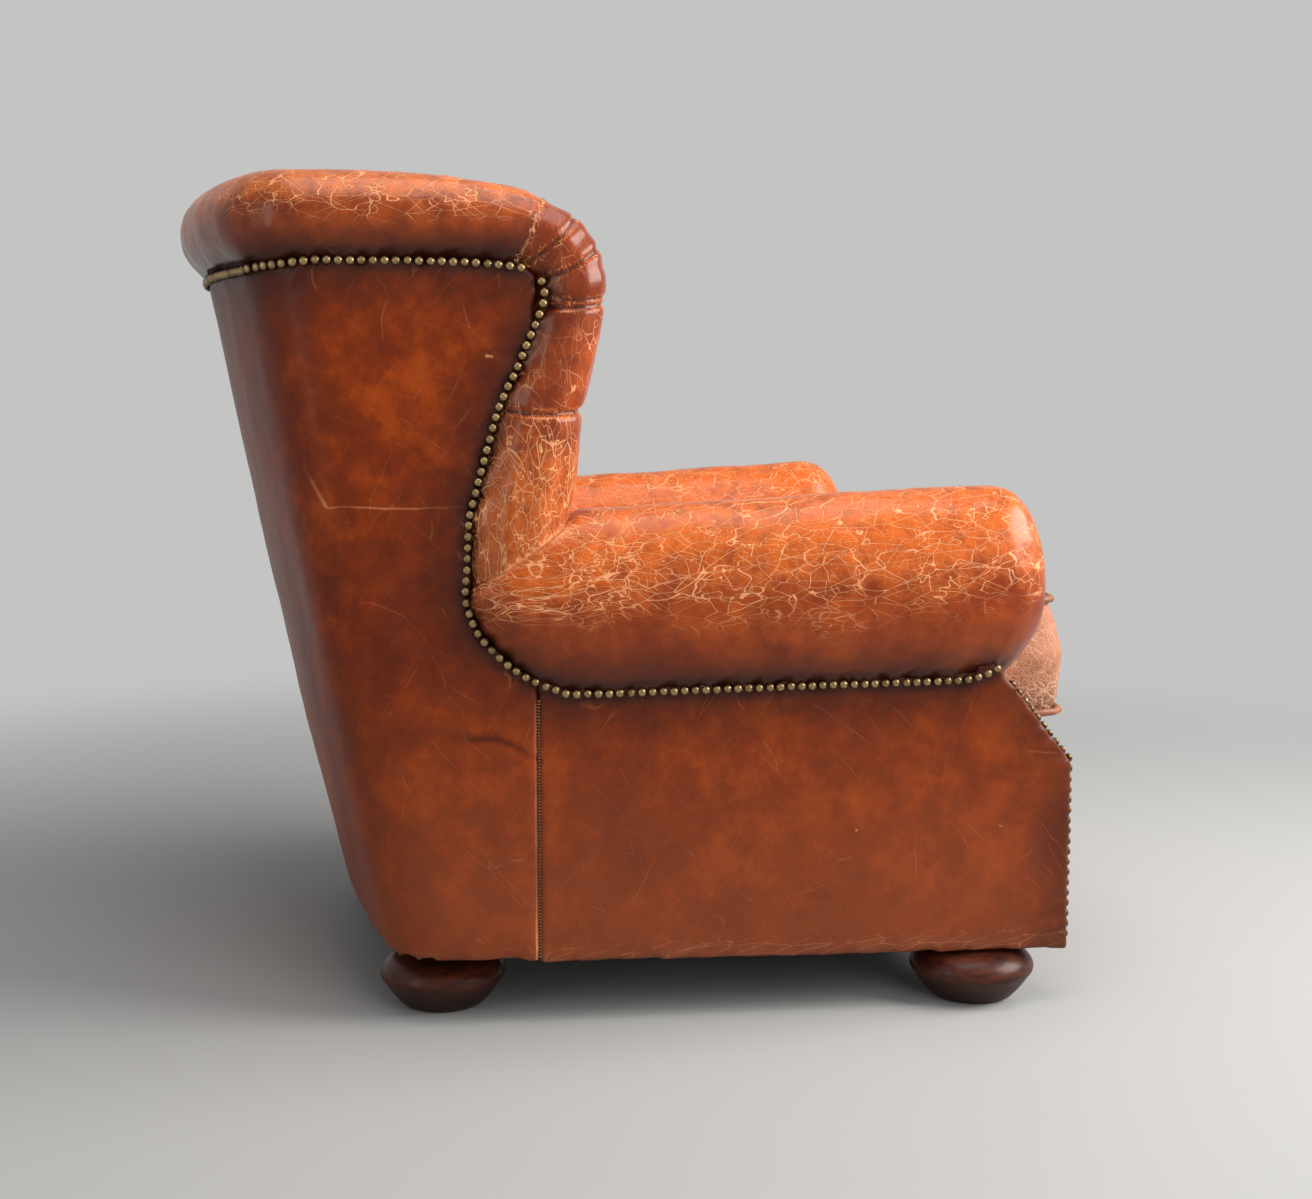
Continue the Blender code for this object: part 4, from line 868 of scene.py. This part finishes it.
def panel_piece(node, material, voxel=0.005, rounds=8, inflate=0.0006):
    """A leather cover: soft edges, puckered where the nails draw it in, with shade and wear painted on."""
    mesh = remeshed(node, voxel, rounds, inflate, panel_freedom)
    points, normals = points_of(mesh), normals_of(mesh)
    beside = points[:, 1] - SEAM_Y
    points[:, 1] -= SEAM_CLOSING * np.sign(beside) * fading(beside, 0.006)
    y, z = points[:, 1], points[:, 2]
    on_side = np.abs(points[:, 0]) > ON_SIDE_X
    nail = nail_distance(points)

    lumps = rumple(points, 0.11, 3) * 0.0018 + rumple(points, 0.03, 4) * 0.0005
    gather = np.sin(z * 210 + y * 170 + 4 * rumple(points, 0.04, 6))
    drawn = 0.0016 * gather * fading(nail, 0.030) - 0.0006 * fading(nail, 0.012)
    drawn *= normals[:, 0] ** 2
    seam = fading(y - SEAM_Y, 0.0030) * (z < SEAM_TOP_Z + 0.01) * on_side
    creases = crease_dents(points) * on_side
    proud = lumps * (1 - seam) + drawn - 0.0006 * seam - creases
    set_points(mesh, points + normals * proud[:, None])

    creased = np.clip(creases / 0.004, 0, 1)
    # Painted shade: a broad dark band below the nails under the overhang of the rolls, a faint one along the
    # lower edge, the crease, and a narrow dark by the nails that stands for dirt too
    border = 0.70 * fading(nail, 0.045) + 0.10 * fading(z - 0.06, 0.02)
    paint(mesh, "shade", fading(nail, 0.0085) + border + 0.7 * creased)
    paint(mesh, "wear", side_marks(points))
    return finished(node + "_hide", mesh, material, [node])


def plain_soft(node, material, voxel=0.006, rounds=6, worn=0.75):
    """A pad or cover with soft edges that needs no marks of its own."""
    mesh = remeshed(node, voxel, rounds, 0.0008)
    points, normals = points_of(mesh), normals_of(mesh)
    set_points(mesh, points + normals * (rumple(points, 0.07, 7) * 0.0016)[:, None])
    # Painted shade near the nails, where the cover is drawn in
    paint(mesh, "shade", 0.45 * fading(nail_distance(points), 0.03))
    paint(mesh, "wear", worn * smoothstep(0.1, 0.9, height_share(points)))
    return finished(node + "_hide", mesh, material, [node])


def dome():
    """One nail head: a dome of radius 1 and height 1, closed by a flat underside that sinks in the hide."""
    bm = bmesh.new()
    bmesh.ops.create_uvsphere(bm, u_segments=12, v_segments=8, radius=1.0)
    below = [v for v in bm.verts if v.co.z < -0.5]
    bmesh.ops.delete(bm, geom=below, context="VERTS")
    rim = [edge for edge in bm.edges if edge.is_boundary]
    bmesh.ops.holes_fill(bm, edges=rim, sides=0)
    return mesh_of(bm, "nail_head")


def nail_piece(node, places, material):
    """All the nail heads of one row, each set by hand a little out of true."""
    head = dome()
    bm = bmesh.new()
    tops = []
    for centre, outward in places:
        wobble = Vector([noise.noise(centre * scale) for scale in (900, 700, 500)])
        lean = (outward + wobble * NAIL_LEAN).normalized()
        size = 1.0 + NAIL_SIZE_CHANGE * noise.noise(centre * 333)
        turn = lean.to_track_quat("Z", "Y").to_matrix().to_4x4()
        scale = Matrix.Diagonal((NAIL_RADIUS * size, NAIL_RADIUS * size, NAIL_RISE * size, 1.0))
        faces_sideways = abs(outward.x) > 0.5
        sink = NAIL_SINK if faces_sideways else -FACING_NAIL_LIFT
        place = Matrix.Translation(centre + wobble * NAIL_DRIFT - outward * sink)
        start = len(bm.verts)
        bm.from_mesh(head)
        bm.verts.ensure_lookup_table()
        fresh = bm.verts[start:]
        tops.extend(v.co.z for v in fresh)
        bmesh.ops.transform(bm, matrix=place @ turn @ scale, verts=fresh)
    mesh = mesh_of(bm, node + "_heads")
    paint(mesh, "wear", np.array(tops))
    return finished(node + "_heads", mesh, material, [node])


def foot_piece(node, material):
    """A turned bun foot, spun from a smooth profile."""
    low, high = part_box(node)
    centre = (Vector(low) + Vector(high)) / 2
    bm = bmesh.new()
    verts = [bm.verts.new((radius, 0.0, z)) for radius, z in FOOT_PROFILE]
    edges = [bm.edges.new(pair) for pair in zip(verts, verts[1:])]
    bmesh.ops.spin(bm, geom=verts + edges, axis=(0, 0, 1), cent=(0, 0, 0), steps=FOOT_STEPS,
                   angle=2 * math.pi, use_merge=True)
    bmesh.ops.remove_doubles(bm, verts=bm.verts, dist=MERGE_DISTANCE)
    bmesh.ops.recalc_face_normals(bm, faces=bm.faces)
    bmesh.ops.translate(bm, verts=bm.verts, vec=(centre.x, centre.y, 0.0))
    mesh = mesh_of(bm, node + "_turned")
    piece = finished(node + "_turned", mesh, material, [node])
    smooth = piece.modifiers.new("smooth", "SUBSURF")
    smooth.levels = 1
    smooth.render_levels = 1
    return piece


def stitch_piece(side, material):
    """The stitches down the seam between the rear cover and the outside arm, on one side of the chair."""
    bm = bmesh.new()
    x = side_x(SEAM_Y) + STITCH_SINK
    if side == "left":
        x = -x
    scale = Matrix.Diagonal((*STITCH_HALF_SIZES, 1.0))
    for i in range(round((SEAM_TOP_Z - HEM_Z) / STITCH_PITCH)):
        made = bmesh.ops.create_icosphere(bm, subdivisions=1, radius=1.0)
        place = Matrix.Translation((x, SEAM_Y, HEM_Z + (i + 0.5) * STITCH_PITCH))
        bmesh.ops.transform(bm, matrix=place @ scale, verts=made["verts"])
    name = "seam_stitches_" + side
    return finished(name, mesh_of(bm, name), material, [])


def welt_piece(node, material):
    """A cushion welt, rounded and a little lumpy."""
    mesh = remeshed(node, 0.0022, 6, -0.0002)
    points, normals = points_of(mesh), normals_of(mesh)
    set_points(mesh, points + normals * (rumple(points, 0.012, 8) * 0.0008)[:, None])
    return finished(node + "_hide", mesh, material, [node])


def stuffed(mesh):
    """The cushion blown up by a cloth simulation, with no point moved further than its cap."""
    rest = points_of(mesh).copy()
    draft = in_scene("cushion_draft", mesh)
    settings = draft.modifiers.new("stuffing", "CLOTH").settings
    settings.quality = 4
    settings.mass = 0.4
    settings.tension_stiffness = 40
    settings.compression_stiffness = 40
    settings.bending_stiffness = 4
    settings.use_pressure = True
    settings.uniform_pressure_force = 2.5
    settings.effector_weights.gravity = 0.0
    scene = bpy.context.scene
    for step in range(1, CUSHION_FRAMES + 1):
        scene.frame_set(step)
    blown = applied(draft)
    scene.frame_set(1)
    move = points_of(blown) - rest
    length = np.linalg.norm(move, axis=1)
    move *= (CUSHION_CAP * np.tanh(length / CUSHION_CAP) / np.maximum(length, 1e-9))[:, None]
    set_points(blown, rest + move)
    return blown


def cushion_piece(material):
    """The loose seat cushion, stuffed, crowned and a little uneven above its flat base."""
    mesh = remeshed("seat_cushion", 0.0060, 2, -0.0005)
    mesh = stuffed(mesh)
    points, normals = points_of(mesh), normals_of(mesh)
    above_base = smoothstep(*CUSHION_BASE_Z, points[:, 2])
    uneven = rumple(points, 0.10, 9) * 0.0022 + rumple(points, 0.030, 10) * 0.0011
    set_points(mesh, points + normals * ((uneven + CUSHION_CROWN) * above_base)[:, None])
    paint(mesh, "wear", 0.6 * smoothstep(0.5, 1.0, height_share(points)))
    return finished("seat_cushion_hide", mesh, material, ["seat_cushion"])


# Stage


def make_stage():
    """A pale floor that melts into the background away from the chair."""
    finish = Finish("studio_floor")
    finish.feed("Base Color", (*FLOOR_COLOUR, 1.0))
    finish.feed("Roughness", 0.6)
    finish.feed("Specular IOR Level", 0.25)
    x, y = finish.axis(0), finish.axis(1)
    far = ((x * x + y * y) ** 0.5).step(*FLOOR_FADE)
    glow = finish.node("ShaderNodeEmission", None, {"Color": (*BACKGROUND, 1.0), "Strength": 1.0})
    shader = Socket(finish.tree, finish.shader.outputs[0])
    mixed = finish.node("ShaderNodeMixShader", None, {0: far, 1: shader, 2: glow})
    finish.tree.links.new(mixed.socket, finish.tree.nodes["Material Output"].inputs["Surface"])
    bm = bmesh.new()
    bmesh.ops.create_grid(bm, x_segments=1, y_segments=1, size=FLOOR_HALF_SIZE)
    mesh = mesh_of(bm, "studio_floor")
    mesh.materials.append(finish.material)
    floor = in_scene("studio_floor", mesh)
    floor.location.z = FLOOR_Z


def add_light(name, place, target, size, power, colour=(1, 1, 1)):
    """A soft rectangular lamp in watts, turned to its target."""
    lamp = bpy.data.lights.new(name, "AREA")
    lamp.shape = "RECTANGLE"
    lamp.size, lamp.size_y = size
    lamp.energy = power
    lamp.color = colour
    light = in_scene(name, lamp)
    light.location = place
    light.rotation_mode = "QUATERNION"
    light.rotation_quaternion = (Vector(place) - Vector(target)).to_track_quat("Z", "Y")
    return light


def make_world():
    """Even light from all round, and a plain pale background for what the camera and gloss see."""
    world = bpy.data.worlds.new("studio")
    world.use_nodes = True
    tree = world.node_tree
    ambient = tree.nodes["Background"]
    ambient.inputs["Color"].default_value = (*AMBIENT, 1.0)
    ambient.inputs["Strength"].default_value = AMBIENT_STRENGTH
    plain = add_node(tree, "ShaderNodeBackground", None, {"Color": (*BACKGROUND, 1.0), "Strength": 1.0})
    seen = add_node(tree, "ShaderNodeLightPath", output="Is Camera Ray")
    for ray in ("Is Glossy Ray", "Is Transmission Ray"):
        seen = seen.greatest(add_node(tree, "ShaderNodeLightPath", output=ray))
    inputs = {0: seen, 1: Socket(tree, ambient.outputs[0]), 2: plain}
    mixed = add_node(tree, "ShaderNodeMixShader", None, inputs)
    tree.links.new(mixed.socket, tree.nodes["World Output"].inputs["Surface"])
    bpy.context.scene.world = world


def make_lights():
    """A large window light from the front, with weaker ones from above, beside and behind."""
    add_light("window", place=(-0.95, -2.3, 1.70), target=(0.0, 0.0, 0.50), size=(2.1, 1.3),
              power=105.0, colour=(1.0, 0.985, 0.96))
    add_light("top", place=(-0.5, -0.1, 2.6), target=(-0.1, 0.0, 0.45), size=(1.8, 1.5), power=32.0)
    fill = add_light("side_fill", place=(-3.4, -1.0, 1.7), target=(-0.2, 0.0, 0.45), size=(2.2, 2.2),
                     power=40.0)
    fill.visible_glossy = False
    add_light("rear_strip", place=(-1.5, 2.3, 1.1), target=(-0.2, 0.3, 0.45), size=(0.5, 1.6),
              power=8.0, colour=(1.0, 0.95, 0.88))


def make_camera():
    """The camera at the photograph's place and angle."""
    data = bpy.data.cameras.new("photo_camera")
    data.lens = LENS_MM
    data.sensor_width = SENSOR_MM
    camera = in_scene("photo_camera", data)
    camera.location = CAMERA_PLACE
    camera.rotation_euler = (math.pi / 2 + CAMERA_TILT, 0.0, CAMERA_TURN)
    bpy.context.scene.camera = camera


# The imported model, and its nails

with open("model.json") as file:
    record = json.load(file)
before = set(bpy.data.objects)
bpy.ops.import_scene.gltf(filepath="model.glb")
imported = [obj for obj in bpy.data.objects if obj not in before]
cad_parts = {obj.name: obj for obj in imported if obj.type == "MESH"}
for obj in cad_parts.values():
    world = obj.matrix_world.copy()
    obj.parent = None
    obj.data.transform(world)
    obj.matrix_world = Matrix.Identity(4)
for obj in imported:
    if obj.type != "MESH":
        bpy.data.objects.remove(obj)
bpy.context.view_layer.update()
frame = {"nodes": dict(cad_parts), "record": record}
NAILS = nail_places()
NAIL_TREE = tree_of([centre for centre, _, _ in NAILS])


def make_leather_pieces():
    """The rolls, pads, covers and cushion, with their materials."""
    arm_hide = roll_leather("arm_hide_worn", 2, True, 1.0, ARM_COLOURS)
    wing_hide = roll_leather("wing_hide_worn", 1, True, 0.95, WING_COLOURS)
    top_hide = roll_leather("top_hide_worn", 2, False, 0.9, TOP_COLOURS)
    inner_hide = roll_leather("inner_hide_worn", 2, False, 0.55, INNER_COLOURS)
    panel_hide = panel_leather("panel_hide_worn", PANEL_COLOURS)
    for side in ("right", "left"):
        roll_piece(f"arm_roll_{side}", arm_hide, rounds=18, worn=(0.15, 0.95), shaded_underside=(0.50, 0.6))
        roll_piece(f"wing_roll_{side}", wing_hide, PLEATS, voxel=0.0028, rounds=16, inflate=0.0008,
                   worn=(0.75, 0.10), least=0.32, shaded_underside=(0.1, 0.2))
        plain_soft(f"inside_arm_{side}", inner_hide)
        plain_soft(f"inside_wing_{side}", inner_hide)
        panel_piece(f"outside_arm_{side}", panel_hide, voxel=0.0042)
        panel_piece(f"arm_facing_{side}", panel_hide, voxel=0.0040, rounds=3)
    roll_piece("top_roll", top_hide, voxel=0.0044, rounds=24, worn=(0.30, 1.00), shaded_underside=(0.6, 0.75))
    panel_piece("rear_cover", panel_hide, voxel=0.0060, rounds=60, inflate=0.0012)
    plain_soft("inside_back", inner_hide, voxel=0.008)
    plain_soft("front_border", panel_hide, worn=0.30)
    cushion_hide = cushion_leather()
    cushion_piece(cushion_hide)
    plain_soft("seat_deck", cushion_hide, voxel=0.010, rounds=3)
    welt_hide = welt_leather()
    for level in ("lower", "upper"):
        welt_piece(f"cushion_welt_{level}", welt_hide)


def main():
    """Dresses the chair, then sets up the stage, the lights and the camera."""
    make_leather_pieces()
    nail_brass = brass()
    for node in sorted({name for _, _, name in NAILS}):
        places = [(centre, outward) for centre, outward, name in NAILS if name == node]
        nail_piece(node, places, nail_brass)
    foot_finish = foot_wood()
    for node in sorted(n for n in frame["nodes"] if n.startswith("foot_")):
        foot_piece(node, foot_finish)
    stitches = thread()
    for side in ("right", "left"):
        stitch_piece(side, stitches)
    kept = {"frame_timber": timber(), "dust_cloth": cloth(), "spring_steel": steel()}
    for entry in frame["record"]["subparts"]:
        if entry["material_slot"] in kept:
            frame["nodes"][entry["node"]].material_slots[0].material = kept[entry["material_slot"]]
    make_stage()
    make_world()
    make_lights()
    make_camera()
    bpy.context.scene.view_settings.view_transform = "Standard"


main()

bpy.context.view_layer.update()
